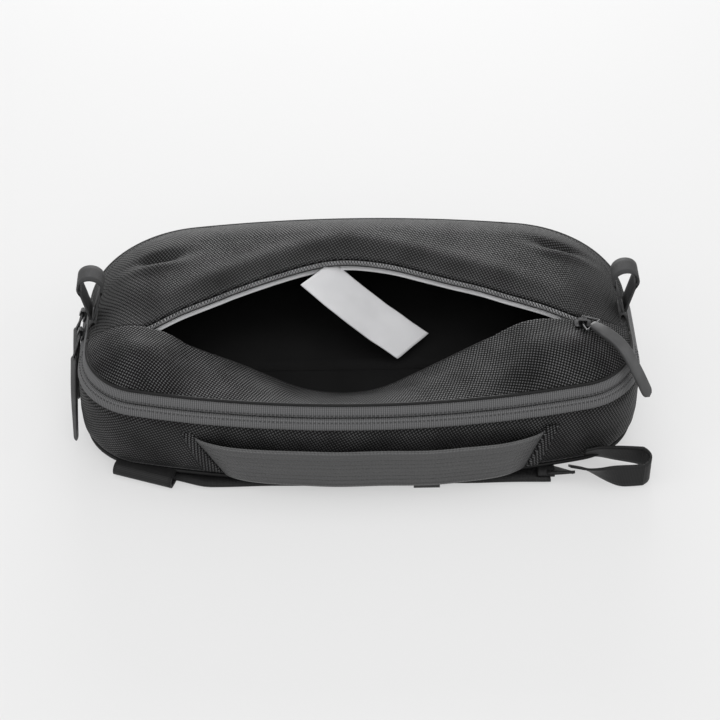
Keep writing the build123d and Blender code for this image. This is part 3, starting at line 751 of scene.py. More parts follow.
def mouth_edge(x):
    """Y of the pocket mouth's raised edge, or of the fold line beside the mouth."""
    if abs(x - MOUTH_X) >= MOUTH_HALF:
        return Y_FOLD
    side = MOUTH_HALF if x > MOUTH_PEAK[0] else -MOUTH_HALF
    share = (x - MOUTH_X - side) / (MOUTH_PEAK[0] - MOUTH_X - side)
    away = (math.hypot(1 - share, 0.17) - 0.17) / (math.hypot(1, 0.17) - 0.17)
    return Y_FOLD + (MOUTH_PEAK[1] - Y_FOLD) * (1 - away) * (1 + 0.12 * away)


# how far the lip droops, from 0 to 1, at shares of the mouth's width
LIP_DROOP = (
    (0, 0), (0.06, 0.2), (0.129, 0.41), (0.228, 0.62), (0.294, 0.79), (0.354, 0.93), (0.445, 1.0),
    (0.53, 0.95), (0.63, 0.7), (0.77, 0.33), (0.87, 0.12), (0.952, 0.02), (1, 0),
)


def lip_droop(share):
    """Droop of the lip, with the corners of the list rounded off."""
    total = 0.0
    for step in range(-3, 4):
        at = min(max(share + step * 0.012, 0), 1)
        for (x0, d0), (x1, d1) in zip(LIP_DROOP, LIP_DROOP[1:]):
            if x0 <= at <= x1:
                total += d0 + (d1 - d0) * (at - x0) / (x1 - x0)
                break
    return total / 7 * smooth(min(share, 1 - share) / 0.02)


def lip(x):
    """Y and Z of the pocket mouth's drooping edge, or of the fold line beside the mouth."""
    end_height = front_height(x, Y_FOLD)
    if abs(x - MOUTH_X) >= MOUTH_HALF:
        return Y_FOLD, end_height
    share = (x - MOUTH_X + MOUTH_HALF) / (2 * MOUTH_HALF)
    droop = lip_droop(share)
    return Y_FOLD + droop * (LIP_LOW[0] - Y_FOLD), end_height + droop * (LIP_LOW[1] - end_height)


PANEL_SPAN = HALF_WIDTH - LEAN


def across_panel(c):
    """X for c from 0 to 1, with columns closer together at the panel's sides."""
    return PANEL_SPAN * math.sin((c - 0.5) * math.pi) * 0.999


def far_panel():
    def place(r, c):
        x = across_panel(c)
        start, end = mouth_edge(x), edge_bottom(x, LEAN)
        y = start + (end - start) * math.sin(r * math.pi / 2) if end > start else start
        z = front_surface(x, y)
        hem = smooth((y - start) / 3.0) if abs(x - MOUTH_X) < MOUTH_HALF else 1
        return Vector((x, y, z - 0.5 * (1 - hem)))

    return thicken(grid("front_panel_far_cloth", 64, 190, place), FABRIC)


def near_panel():
    """The flap's panel: over the band's seam, then sagging into the open pocket, with a turned hem."""

    def place(r, c):
        x = across_panel(c)
        y_seam, (y_end, z_end) = edge_top(x, LEAN), lip(x)
        z_seam = Z_PANEL + SEAM_LIFT
        droop = smooth((front_height(x, Y_FOLD) - z_end) / 14.0)
        y = y_seam + (y_end - y_seam) * r
        crown = math.sin(math.pi * r) * (2.6 - 1.9 * droop)
        z = z_seam + (z_end - z_seam) * r + crown
        flat = front_height(x, y)
        z = z * droop + (1 - droop) * flat
        edge = math.sin(math.pi * r)
        z += edge * (0.8 * ripple(x, y, 2.0, 26.0) + 0.4 * ripple(x, y, 4.0, 11.0))
        return Vector((x, y, z))

    return thicken(grid("front_panel_near_cloth", 40, 190, place), FABRIC)


dress(far_panel(), BALLISTIC, "bag_fabric", "bag_back", "front_panel_far")
dress_flap(near_panel(), BALLISTIC_TURNED, "bag_fabric", "front_panel_near")

hem_path = []
for k in range(161):
    x = MOUTH_X + (MOUTH_HALF - 1) * (k / 80 - 1)
    y, z = lip(x)
    hem_path.append(Vector((x, y + 0.2, z - 0.7)))
dress_flap(tube("lip_hem", hem_path, 0.9, 10), SEAM_CLOTH, "bag_fabric")


# ---- pocket zipper ----

MOUTH_START, MOUTH_END = MOUTH_X - MOUTH_HALF, MOUTH_X + MOUTH_HALF


def mouth_x(c, margin=2.0):
    return MOUTH_START + margin + (MOUTH_END - MOUTH_START - 2 * margin) * c


def along_mouth(x, y_offset, z_offset):
    """A point beside the raised edge of the pocket mouth."""
    y = mouth_edge(x) + y_offset
    return Vector((x, y, front_surface(x, mouth_edge(x)) + z_offset))


def mouth_tape(name, first, last, height):
    """A strip beside the raised edge, from first to last millimetres in Y."""

    def place(r, c):
        return along_mouth(mouth_x(c), first + (last - first) * r, height - 0.35 * abs(r - 0.5))

    def uv(r, c):
        return ((last - first) * r, mouth_x(c))

    return thicken(grid(name, 4, 120, place, uv), 0.8)


far_tape = mouth_tape("pocket_zip_tape_far_cloth", -4.2, 5.0, -1.9)
dress(far_tape, SEAM_CLOTH, "zip_tape", "bag_back", "pocket_zip_tape_far")


def mouth_coil(s):
    x = mouth_x(s / (MOUTH_END - MOUTH_START), 0.0)
    point = along_mouth(x, -3.4, -1.0)
    return point, Vector((0, 1, 0)), Vector((0, 0, 1))


far_coil = coil("pocket_coil_far_helix", mouth_coil, MOUTH_END - MOUTH_START, 1.9, 0.9, 6)
dress(far_coil, TEETH, "zip_coil", "bag_back", "pocket_coil_far")
cords = []
for offset in (-1.6, -5.0):
    path = [along_mouth(mouth_x(k / 140), offset, -1.1) for k in range(141)]
    cords.append(tube(f"pocket_piping_{len(cords)}", path, 0.42, 8))
dress(join("pocket_piping", cords), PIPING, "zip_tape", "bag_back")


def lip_strip(name, reach, drop):
    """The drooping half of the pocket zipper, tucked under the lip."""

    def place(r, c):
        x = mouth_x(c, 10.0)
        y, z = lip(x)
        slope = (z - Z_PANEL) / (y - edge_top(x, LEAN))
        back = reach * (1 - r)
        return Vector((x, y - back, z - slope * back - drop))

    def uv(r, c):
        return (r * reach, mouth_x(c))

    return thicken(grid(name, 4, 110, place, uv), 0.8)


dress_flap(lip_strip("pocket_zip_tape_near_cloth", 9.0, 2.2), ZIP_TAPE, "zip_tape", "pocket_zip_tape_near")


def lip_coil(s):
    x = mouth_x(s / (MOUTH_END - MOUTH_START), 8.0)
    y, z = lip(x)
    return Vector((x, y, z - 2.4)), Vector((0, 1, 0)), Vector((0, 0, 1))


near_coil = coil("pocket_coil_near_helix", lip_coil, MOUTH_END - MOUTH_START, 1.9, 0.6, 5)
dress_flap(near_coil, ZIP_COIL, "zip_coil", "pocket_coil_near")


# ---- pocket lining ----


def far_lining():
    """Light cloth under the fixed front panel, showing as a strip below the zipper."""

    def place(r, c):
        x = mouth_x(c, 6.0)
        start, end = mouth_edge(x) - 4.8, edge_bottom(x, LEAN + 12)
        y = start + (end - start) * r
        drop = 3.4 + 2.0 * math.exp(-(r / 0.08) ** 2)
        return Vector((x, y, front_surface(x, max(y, mouth_edge(x))) - drop))

    return thicken(grid("front_lining_far_cloth", 24, 120, place), 0.6)


dress(far_lining(), LIGHT_LINING, "light_lining", "bag_back", "front_lining_far")

POCKET_LOW, POCKET_HIGH = corners("pocket_back_far")
POCKET_INSET = 10.5  # of the pocket's back from the outline


def pocket_tray():
    """The fixed half of the pocket's back: a dark floor with rounded sides."""

    def place(r, c):
        s = S_FOLD + (2 * (HALF_RIM - S_FOLD)) * c
        point, normal = rim_past_end(s)
        centre = Vector((point.x * 0.86, Y_FOLD - 3, 0))
        if r < 0.45:
            t = r / 0.45
            edge = point - normal * (POCKET_INSET + 8)
            flat = centre.lerp(edge, t)
            z = POCKET_LOW.z + 0.4 + 0.3 * ripple(flat.x, flat.y, 6.0, 30)
            return Vector((flat.x, max(flat.y, Y_FOLD - 3), z))
        t = (r - 0.45) / 0.55
        edge = point - normal * (POCKET_INSET + 8 * (1 - math.sin(t * math.pi / 2)))
        z = POCKET_LOW.z + 0.4 + (POCKET_HIGH.z - POCKET_LOW.z - 0.5) * (1 - math.cos(t * math.pi / 2))
        return Vector((edge.x, max(edge.y, Y_FOLD + 1), z))

    return thicken(grid("pocket_back_far_cloth", 22, 120, place), 0.8)


dress(pocket_tray(), DARK_LINING, "dark_lining", "bag_back", "pocket_back_far")

BACK_NEAR_LOW, BACK_NEAR_HIGH = corners("pocket_back_near")


def pocket_near():
    """The flap's half of the pocket's back, curving up to its edge."""

    def place(r, c):
        x = BACK_NEAR_LOW.x + (BACK_NEAR_HIGH.x - BACK_NEAR_LOW.x) * c
        y_edge = edge_top(x, POCKET_INSET)
        y = y_edge + (BACK_NEAR_HIGH.y - 0.3 - y_edge) * r
        near = max(1 - (y - y_edge) / 16.0, 0)
        z = BACK_NEAR_LOW.z + 0.9 + 0.5 * (1 - r) + 14.0 * near**2 + 0.1 * ripple(x, y, 12.0, 25)
        return Vector((x, y, z))

    return thicken(grid("pocket_back_near_cloth", 20, 90, place), 0.8)


dress_flap(pocket_near(), DARK_LINING, "dark_lining", "pocket_back_near")


DIVIDER_LOW, DIVIDER_HIGH = corners("pocket_divider")
DIVIDER_TOP_Y = 8.0  # of its corner under the raised edge
DIVIDER_FOOT_X = 24.0  # of its corner at the lip


def divider():
    """A light cloth panel whose free edge slopes down from the front panel to the lip."""
    high = Vector((DIVIDER_LOW.x + 0.5, DIVIDER_TOP_Y, DIVIDER_HIGH.z))
    low = Vector((DIVIDER_FOOT_X, DIVIDER_LOW.y, DIVIDER_LOW.z + 0.5))
    across = Vector((DIVIDER_HIGH.x - DIVIDER_FOOT_X, DIVIDER_HIGH.y - DIVIDER_TOP_Y, 0))

    def place(r, c):
        point = high.lerp(low, r) + across * c * (1 - 0.25 * r * (1 - r))
        sag = math.sin(math.pi * min(max(r * 0.9 + 0.05, 0), 1)) * (0.4 + math.sin(math.pi * min(c + 0.1, 1)))
        folds = 0.8 * math.sin(c * 9 + r * 2.5) * math.sin(math.pi * r)
        uneven = Vector((0, 0, 0.6 * ripple(*point, 14)))
        return point + Vector((-0.2, -0.5, -0.85)) * (1.3 * sag + 0.6 * folds) + uneven

    return thicken(grid("pocket_divider_cloth", 40, 36, place), 0.8, 0.0)


divider_cloth = dress(divider(), LIGHT_LINING, "light_lining", "bag_back", "pocket_divider")


# ---- stitching ----


def stitches(name, place, length, body=None, stitch=2.6, gap=1.0, radius=0.22):
    """A row of thread stitches; place(s) gives the point and the way up."""
    points, faces = [], []
    count = int(length / (stitch + gap))
    for k in range(count):
        base = len(points)
        for step in range(5):
            share = step / 4
            s = k * (stitch + gap) + stitch * share
            point, up = place(s)
            ahead, _ = place(s + 0.2)
            along = (ahead - point).normalized()
            side = along.cross(up).normalized()
            lift = radius * 0.9 * math.sin(math.pi * share)
            for turn in (0, 1, 2, 3):
                angle = math.pi * turn / 2
                offset = side * math.cos(angle) * radius * 1.3 + up * math.sin(angle) * radius
                points.append(point + up * lift + offset * (0.55 + 0.45 * math.sin(math.pi * share)))
        for step in range(4):
            for turn in range(4):
                a = base + step * 4 + turn
                b = base + step * 4 + (turn + 1) % 4
                faces.append((a, b, b + 4, a + 4))
        faces.append((base + 3, base + 2, base + 1, base))
        faces.append((base + 16, base + 17, base + 18, base + 19))
    piece = mesh(name, points, faces)
    if body:
        dress(piece, THREAD, "bag_fabric", body)
    return piece


def far_seam_row(s):
    s = S_FOLD + 2 + s
    point, normal = rim_past_end(s)
    point = point - normal * (LEAN + 4.5)
    return Vector((point.x, point.y, front_surface(point.x, point.y) + 0.05)), Vector((0, 0, 1))


def mouth_row(s):
    return along_mouth(mouth_x(s / (MOUTH_END - MOUTH_START), 1.0), 2.4, 0.05), Vector((0, 0, 1))


def band_row(z):
    """Place along the main zipper's band, for the fine stitching beside its slit."""

    def place(s):
        s -= S_FOLD - 3
        point, normal = rim(s)
        lean = band_lean(z)
        point = point - normal * (lean - 1.25)
        return Vector((point.x, point.y, z)), normal

    return place


for z, label in ((Z_SLIT - 2.0, "lower"), (Z_SLIT + 2.0, "upper")):
    row = stitches(f"band_stitches_{label}", band_row(z), 2 * S_FOLD - 6, None, 1.5, 1.0, 0.3)
    if label == "lower":
        dress(row, THREAD, "zip_tape", "bag_back")
    else:
        dress_flap(row, THREAD, "zip_tape")
stitches("far_seam_stitches", far_seam_row, 2 * (HALF_RIM - S_FOLD) - 4, "bag_back")
stitches("mouth_stitches", mouth_row, MOUTH_END - MOUTH_START - 2, "bag_back")


# ---- piping round the front panel ----


def seam_cord(name, s_start, s_end, z, lift):
    """The rolled seam where the front panel meets the band."""
    count = int(abs(s_end - s_start) / 3)
    path = []
    for k in range(count + 1):
        s = s_start + (s_end - s_start) * k / count
        point, normal = rim_past_end(s)
        path.append(point - normal * (LEAN - lift) + Vector((0, 0, z)))
    return tube(name, path, 1.0, 10)


near_roll = seam_cord("front_seam_near", -S_FOLD, S_FOLD, Z_PANEL + 1.2, 0.3)
dress_flap(near_roll, SEAM_CLOTH, "bag_fabric")
far_roll = seam_cord("front_seam_far", S_FOLD, 2 * HALF_RIM - S_FOLD, Z_PANEL + 1.0, 0.2)
dress(far_roll, SEAM_CLOTH, "bag_fabric", "bag_back")


# ---- grab handle ----

GRIP_LOW, GRIP_HIGH = corners("grab_handle")

# X of the handle's and its tabs' slanted ends, at the lower and the upper edge
GRIP_LEFT, GRIP_RIGHT = (-82.0, -101.0), (99.5, 111.5)
TAB_LEFT_OUT, TAB_RIGHT_OUT = (-95.0, -108.0), (106.5, 118.5)
GRIP_Z = (GRIP_LOW.z + 0.8, GRIP_HIGH.z + 2.2)


def handle_strip():
    """Thick ribbed webbing bowed out in front of the upper wall, sewn down along slanted ends."""
    profile = (
        (0, 0.0), (0.03, 1.1), (0.1, 1.7), (0.24, 1.2), (0.28, 1.55), (0.34, 1.25), (0.5, 1.5), (0.64, 1.25),
        (0.7, 1.6), (0.75, 1.25), (0.9, 1.7), (0.97, 1.1), (1, 0.0),
    )

    def place(r, c):
        share, proud = profile[round(r * (len(profile) - 1))]
        left = GRIP_LEFT[0] + (GRIP_LEFT[1] - GRIP_LEFT[0]) * share
        right = GRIP_RIGHT[0] + (GRIP_RIGHT[1] - GRIP_RIGHT[0]) * share
        x = left + (right - left) * (0.5 - 0.5 * math.cos(math.pi * c))
        away = (x - left) / (right - left)
        bow = math.sin(math.pi * away) ** 0.55
        z = GRIP_Z[0] + (GRIP_Z[1] - GRIP_Z[0]) * share + 0.8 * ripple(x, share * 6, 5.0, 30.0)
        wall = edge_top(x, 0) - 1.6
        proud *= 0.45 + 0.55 * smooth(math.sin(math.pi * away) / 0.3)
        return Vector((x, min(wall * (1 - bow) + (GRIP_LOW.y + 1.7) * bow, wall) + 1.1 - proud, z))

    def uv(r, c):
        share = profile[round(r * (len(profile) - 1))][0]
        return (share * (GRIP_Z[1] - GRIP_Z[0]), (0.5 - 0.5 * math.cos(math.pi * c)) * 205)

    return thicken(grid("grab_handle_webbing", len(profile) - 1, 160, place, uv), 1.5, -1.0)


dress(handle_strip(), GRIP, "grip_webbing", "grab_handle", "grab_handle")


def wall_patch(name, outer, inner, lift):
    """A sewn patch on the upper wall between two slanted lines, each given at its lower and upper edge."""

    def place(r, c):
        z = GRIP_Z[0] - 1.5 + (GRIP_Z[1] - GRIP_Z[0] + 4.5) * r
        start, end = outer[0] + (outer[1] - outer[0]) * r, inner[0] + (inner[1] - inner[0]) * r
        x = start + (end - start) * c
        rounded = min(r, 1 - r, c, 1 - c) * 9
        return Vector((x, edge_top(x, 0) + wall_inset(z, 0) - lift * smooth(rounded) - 0.3, z))

    return thicken(grid(name, 24, 24, place), 1.0)


for side, outer, inner in (("left", TAB_LEFT_OUT, GRIP_LEFT), ("right", TAB_RIGHT_OUT, GRIP_RIGHT)):
    patch = wall_patch(f"handle_tab_{side}_cloth", outer, inner, 1.5)
    dress(patch, BALLISTIC_TURNED, "webbing", "bag_back", f"handle_tab_{side}")


# ---- side loops ----


def loop_path(sign, node):
    """The teardrop of webbing in X and Z: both ends at the foot, and a wide round top."""
    low, high = corners(node)
    radius = (high.x - low.x) / 2 - 0.4
    top_x, top_z = (low.x + high.x) / 2, high.z - radius - 0.4
    foot_x, foot_z = top_x + sign * 0.5, low.z + 1.2
    path = [Vector((foot_x - 1.0, 0, foot_z))]
    for k in range(29):
        turn = math.radians(-40 + 260 * k / 28)
        path.append(Vector((top_x - radius * math.cos(turn), 0, top_z + radius * math.sin(turn))))
    path.append(Vector((foot_x + 1.0, 0, foot_z)))
    return curve_points(path, 90)


for side, sign in (("left", -1), ("right", 1)):
    node = f"side_loop_{side}"
    low, high = corners(node)
    middle_y = (low.y + high.y) / 2 - 2.0
    path = [Vector((p.x, middle_y, p.z)) for p in loop_path(sign, node)]
    loop = ribbon(f"{node}_tape", path, lambda i: Vector((0, 1, 0)), high.y - low.y + 4.0, 1.2)
    dress(loop, LOOP_TAPE, "webbing", node, node)
    low, high = corners(f"side_loop_tab_{side}")
    x_mid, y_mid = (low.x + high.x) / 2, (low.y + high.y) / 2 - 2
    ground = front_surface(x_mid, y_mid) - 1.5
    fold_points = [
        Vector((x_mid + sign * 3.0, y_mid, ground - 2)), Vector((x_mid + sign * 2.0, y_mid, high.z - 2.2)),
        Vector((x_mid, y_mid, high.z - 0.4)),
        Vector((x_mid - sign * 2.0, y_mid, high.z - 2.2)), Vector((x_mid - sign * 3.4, y_mid, ground)),
    ]
    fold = curve_points(fold_points, 32)
    tab = ribbon(f"side_loop_tab_{side}_tape", fold, lambda i: Vector((0, 1, 0)), 14.0, 1.2)
    dress(tab, LOOP_TAPE, "webbing", "bag_back", f"side_loop_tab_{side}")


# ---- zipper sliders and pulls ----


def finish_node(node, material):
    """Give a CAD node its material; its shape stays."""
    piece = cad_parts[node]
    piece.data.materials.clear()
    piece.data.materials.append(material)


for node in (
    "main_slider_a", "main_slider_b", "pocket_slider",
    "main_pull_link_a", "main_pull_link_b", "pocket_pull_link",
):
    finish_node(node, METAL)


def pull_tab(name, stations, side, width, thickness):
    """A moulded pull: rounded sections along its stations, full in the middle and thinner at both ends."""
    side = Vector(side).normalized()
    path = curve_points(stations, 48)
    rows, columns = 48, 24
    points, faces = [], []
    for i, point in enumerate(path):
        t = i / rows
        before, after = path[max(i - 1, 0)], path[min(i + 1, rows)]
        along = (after - before).normalized()
        across = (side - along * side.dot(along)).normalized()
        up = along.cross(across)
        round_end = math.sqrt(max(1 - ((t - 0.93) / 0.07) ** 2, 0.0)) if t > 0.93 else 1.0
        near_end = math.sqrt(max(1 - ((0.05 - t) / 0.05) ** 2, 0.0)) if t < 0.05 else 1.0
        half = width / 2 * (0.7 + (1 - 0.7) * smooth(t / 0.25)) * round_end * near_end
        depth = thickness / 2 * (1.0 - 0.35 * smooth((t - 0.3) / 0.7)) * max(round_end * near_end, 0.2)
        for k in range(columns):
            turn = 2 * math.pi * k / columns
            c, s = math.cos(turn), math.sin(turn)
            x = math.copysign(abs(c) ** 0.55, c) * half
            y = math.copysign(abs(s) ** 0.55, s) * depth
            points.append(point + across * x + up * y)
    for i in range(rows):
        for k in range(columns):
            a, b = i * columns + k, i * columns + (k + 1) % columns
            faces.append((a, b, b + columns, a + columns))
    faces.append(tuple(range(columns))[::-1])
    faces.append(tuple(range(rows * columns, (rows + 1) * columns)))
    return mesh(name, points, faces, [(0, 0)] * len(points))


for letter in ("a", "b"):
    low, high = corners(f"main_puller_{letter}")
    top = Vector(((low.x + high.x) / 2, high.y, high.z))
    bottom = Vector(((low.x + high.x) / 2, low.y, low.z))
    start = top + Vector((0, -4.2, -2.6))
    end = bottom + Vector((0, 3.0, 2.8))
    middle = (start + end) / 2 + Vector((-0.5, 0, 0))
    pull = pull_tab(f"main_puller_{letter}_tab", [start, middle, end], (0, 0.79, -0.61), 8.2, 4.2)
    dress(pull, PULL, "puller_rubber", f"main_pull_{letter}", f"main_puller_{letter}")

POCKET_BAR = Vector((136, -33, 78.2))
POCKET_HEADING = Vector((0.72, -0.69, 0)).normalized()
pull_stations = [
    POCKET_BAR + POCKET_HEADING * run + Vector((0, 0, rise + 2.3))
    for run, rise in ((6.0, 2.0), (18.0, 1.8), (31.0, -2.2), (43.0, -14.6), (53.5, -28.6))
]
pocket_pull = pull_tab("pocket_puller_tab", pull_stations, (0.69, 0.72, 0), 8.2, 4.2)
dress(pocket_pull, PULL, "puller_rubber", "pocket_pull", "pocket_puller")


# ---- shoulder strap ----

STRAP_HEADING = Vector((0.34, 0.94, 0))
STRAP_ACROSS = Vector((0.94, -0.34, 0))
STRAP_FOLD = Vector((-134.0, -84.8, 0))
ANCHOR_LOW, ANCHOR_HIGH = corners("strap_anchor")
STRAP_Y = (ANCHOR_LOW.y + ANCHOR_HIGH.y) / 2
STRAP_WIDTH = ANCHOR_HIGH.y - ANCHOR_LOW.y

z_under, z_over = 1.1, 8.0
turn_r = (z_over - z_under) / 2
fold_path = [STRAP_FOLD + STRAP_HEADING * (46 - 4 * k) + Vector((0, 0, z_under)) for k in range(11)]
for k in range(1, 16):
    turn = math.pi * k / 16
    fold_path.append(
        STRAP_FOLD + STRAP_HEADING * (3.2 - 3.6 * math.sin(turn))
        + Vector((0, 0, z_under + turn_r * (1 - math.cos(turn))))
    )
for k in range(11):
    height = z_over - 1.8 * smooth(k / 7)
    fold_path.append(STRAP_FOLD + STRAP_HEADING * (6 + 4 * k) + Vector((0, 0, height)))
fold = ribbon("shoulder_strap_fold", fold_path, lambda i: STRAP_ACROSS, 38.0, 1.8, 8)

run_path = [
    Vector((-120 + 4 * k, STRAP_Y - 2 + 7 * smooth(1 - k / 7), 3.3 + 0.2 * math.sin(k * 0.5)))
    for k in range(60)
]
run = ribbon("shoulder_strap_run", run_path, lambda i: Vector((0, 1, 0)), STRAP_WIDTH - 0.6, 1.8, 6)
dress(join("shoulder_strap_webbing", [fold, run]), WEBBING, "webbing", "bag_back", "shoulder_strap")

anchor_path = [Vector((ANCHOR_LOW.x + 1.5 * k, STRAP_Y, 5.6)) for k in range(8)]
anchor = ribbon("strap_anchor_webbing", anchor_path, lambda i: Vector((0, 1, 0)), STRAP_WIDTH - 0.6, 2.0, 6)
dress(anchor, WEBBING, "webbing", "bag_back", "strap_anchor")
finish_node("strap_adjuster", PLASTIC)

TAB_HIGH = corners("strap_loop_tab")[1]
LOOP_LOW, LOOP_HIGH = corners("strap_loop")


def loop_strip():
    """The loop at the strap's end: it leaves nearly flat, stands on edge, and turns back behind the tip."""
    x0, x1 = LOOP_LOW.x, LOOP_HIGH.x
    y_mid, z_mid = (LOOP_LOW.y + LOOP_HIGH.y) / 2, (LOOP_LOW.z + LOOP_HIGH.z) / 2
    radius = 8.0
    controls = [
        Vector((x0 - 3, y_mid + 3.5, 6.4)),
        Vector((x0 + 7, y_mid + 0.5, 6.8)),
        Vector((x0 + 17, y_mid - 5.0, 7.9)),
        Vector((x0 + 27, y_mid - 8.2, z_mid - 0.8)),
    ]
    for k in range(9):
        turn = math.radians(-78 + 150 * k / 8)
        controls.append(
            Vector((x1 - 0.8 - radius + radius * math.cos(turn), y_mid + radius * math.sin(turn), z_mid))
        )
    controls += [
        Vector((x0 + 25, y_mid + 9.6, z_mid)),
        Vector((x0 + 15, y_mid + 10.6, z_mid - 1)),
        Vector((x0 + 6, y_mid + 9.0, z_mid - 3)),
    ]
    path = curve_points(controls, 160)
    width = 17.2
    tilts = [
        math.radians(42 + 48 * smooth((p.x - x0 - 4) / 26) if i < 70 else 90 - 30 * smooth((i - 108) / 50))
        for i, p in enumerate(path)
    ]
    rise = [3.5 * smooth((i - 105) / 50) for i in range(len(path))]
    path = [
        Vector((p.x, p.y, 1.1 + lift + width / 2 * math.sin(tilt)))
        for p, tilt, lift in zip(path, tilts, rise)
    ]

    def across(i):
        return Vector((0, -math.cos(tilts[i]), math.sin(tilts[i])))

    return ribbon("strap_loop_webbing", path, across, width, 1.4, 6)


dress(loop_strip(), WEBBING, "webbing", "strap_loop", "strap_loop")
tab_path = [Vector((ANCHOR_HIGH.x - 4 + 1.5 * k, TAB_HIGH.y - 1 - 0.25 * k, 5.2)) for k in range(12)]
loop_tab = ribbon(
    "strap_loop_tab_webbing", tab_path,
    lambda i: Vector((0, 1, 0)).lerp(Vector((0, 0, -1)), 0.25 + i / 40), 12.0, 1.8, 6,
)
dress(loop_tab, WEBBING, "webbing", "bag_back", "strap_loop_tab")


# ---- padded back ----


def blown(name, points, faces, voxel, cap, low_z, high_z):
    """Padding: remesh a closed form, blow it up as cloth, cap the swelling, keep it between two levels."""
    start = mesh(name + "_form", points, faces)
    start.modifiers.new("even", "REMESH").mode = "VOXEL"
    start.modifiers["even"].voxel_size = voxel * MM
    graph = bpy.context.evaluated_depsgraph_get()
    base = bpy.data.meshes.new_from_object(start.evaluated_get(graph))
    bpy.data.objects.remove(start)
    piece = bpy.data.objects.new(name, base)
    bpy.context.scene.collection.objects.link(piece)
    rest = [v.co.copy() for v in base.vertices]
    cloth = piece.modifiers.new("cloth", "CLOTH")
    cloth.settings.use_pressure = True
    cloth.settings.uniform_pressure_force = 4.0
    cloth.settings.quality = 4
    cloth.settings.effector_weights.gravity = 0
    for step in range(1, 21):
        bpy.context.scene.frame_set(step)
    graph = bpy.context.evaluated_depsgraph_get()
    blown_mesh = bpy.data.meshes.new_from_object(piece.evaluated_get(graph))
    moved = [v.co.copy() for v in blown_mesh.vertices]
    piece.modifiers.clear()
    bpy.context.scene.frame_set(1)
    for vertex, before, after in zip(base.vertices, rest, moved):
        shift = after - before
        if shift.length > cap * MM:
            shift = shift.normalized() * cap * MM
        vertex.co = before + shift
    for vertex in base.vertices:
        vertex.co.z = min(max(vertex.co.z, low_z * MM), high_z * MM)
    base.shade_smooth()
    return piece


def pad_form(half_x, y_low, y_high, corner, z_low, z_high):
    """Closed form with rounded corners and a soft shoulder, between two levels."""
    centre = Vector((0, (y_low + y_high) / 2, 0))
    half = Vector((half_x, (y_high - y_low) / 2))
    points, faces = [], []
    rings = [(0.86, z_low), (1.0, z_low + 1.8), (1.0, z_high - 1.8), (0.86, z_high)]
    around = 176
    for share, z in rings:
        for k in range(around):
            turn = 2 * math.pi * k / around
            c, s = math.cos(turn), math.sin(turn)
            reach = 1 / max((abs(c) ** 5 + abs(s) ** 5) ** 0.2, 0.01)
            edge = Vector((half.x * c * reach, half.y * s * reach))
            length = edge.length
            inward = corner * (1 - share)
            edge *= (length - inward) / length
            points.append(centre + Vector((edge.x, edge.y, z)))
    for ring in range(3):
        for k in range(around):
            a, b = ring * around + k, ring * around + (k + 1) % around
            faces.append((a, b, b + around, a + around))
    faces.append(tuple(range(around))[::-1])
    faces.append(tuple(range(3 * around, 4 * around)))
    return points, faces


PAD_LOW, PAD_HIGH = corners("back_foam")
pad_points, pad_faces = pad_form(129.5, -36, 76, 34, 1.1, 6.6)
back_pad = blown("back_panel_pad", pad_points, pad_faces, 5.0, 3.0, 0.1, 7.4)


def channel(piece, lines, width, depth):
    """Sew channels into the pad's lower face; each line is a constant x or y, in millimetres."""
    for vertex in piece.data.vertices:
        if vertex.co.z > 3.5 * MM:
            continue
        x, y = vertex.co.x / MM, vertex.co.y / MM
        near = min(abs(x - value) if axis == "x" else abs(y - value) for axis, value in lines)
        vertex.co.z += depth * MM * math.exp(-((near / width) ** 2))


soften(back_pad)
graph = bpy.context.evaluated_depsgraph_get()
smoothed = bpy.data.meshes.new_from_object(back_pad.evaluated_get(graph))
back_pad.modifiers.clear()
back_pad.data = smoothed
channel(back_pad, [("x", -64.0), ("x", 0.0), ("x", 64.0), ("y", 20.0)], 3.5, 1.8)
smoothed.shade_smooth()
dress(back_pad, BACK_MESH, "back_mesh", "bag_back", "back_panel")

SLEEVE_QUILT = 26.0  # spacing of the sewn lines


def thin_pad(name, low, high, shoulder, quilt=None):
    """Padding too thin to remesh: two crowned faces that share their edge, sewn in lines if quilted."""
    rows, columns = 60, 110
    inset = HALF_WIDTH - high.x
    middle, half = (low.z + high.z) / 2, (high.z - low.z) / 2 - 0.05
    points, faces, number = [], [], {}
    for side in (1, -1):
        for i in range(rows + 1):
            for j in range(columns + 1):
                at_edge = i in (0, rows) or j in (0, columns)
                if at_edge and side < 0:
                    number[side, i, j] = number[1, i, j]
                    continue
                x = (HALF_WIDTH - inset) * math.sin((j / columns - 0.5) * math.pi) * 0.998
                start, end = edge_top(x, inset), edge_bottom(x, inset)
                y = start + (end - start) * (0.5 + 0.5 * math.sin((i / rows - 0.5) * math.pi))
                edge = smooth(min(y - start, end - y, (HALF_WIDTH - inset - abs(x)) * 1.5) / shoulder)
                sewn = 1.0
                if quilt:
                    sewn = abs(math.sin(math.pi * x / quilt) * math.sin(math.pi * y / quilt)) ** 0.5
                rise = 0.0 if at_edge else half * edge * (0.45 + 0.55 * sewn)
                number[side, i, j] = len(points)
                points.append(Vector((x, y, middle + side * rise)))
        for i in range(rows):
            for j in range(columns):
                quad = [number[side, i + p, j + q] for p, q in ((0, 0), (0, 1), (1, 1), (1, 0))]
                faces.append(quad[::side])
    return mesh(name, points, faces, [(p.x, p.y) for p in points])


foam = thin_pad("back_foam_pad", PAD_LOW, PAD_HIGH, 3.0)
dress(foam, FOAM, "foam", "bag_back", "back_foam")


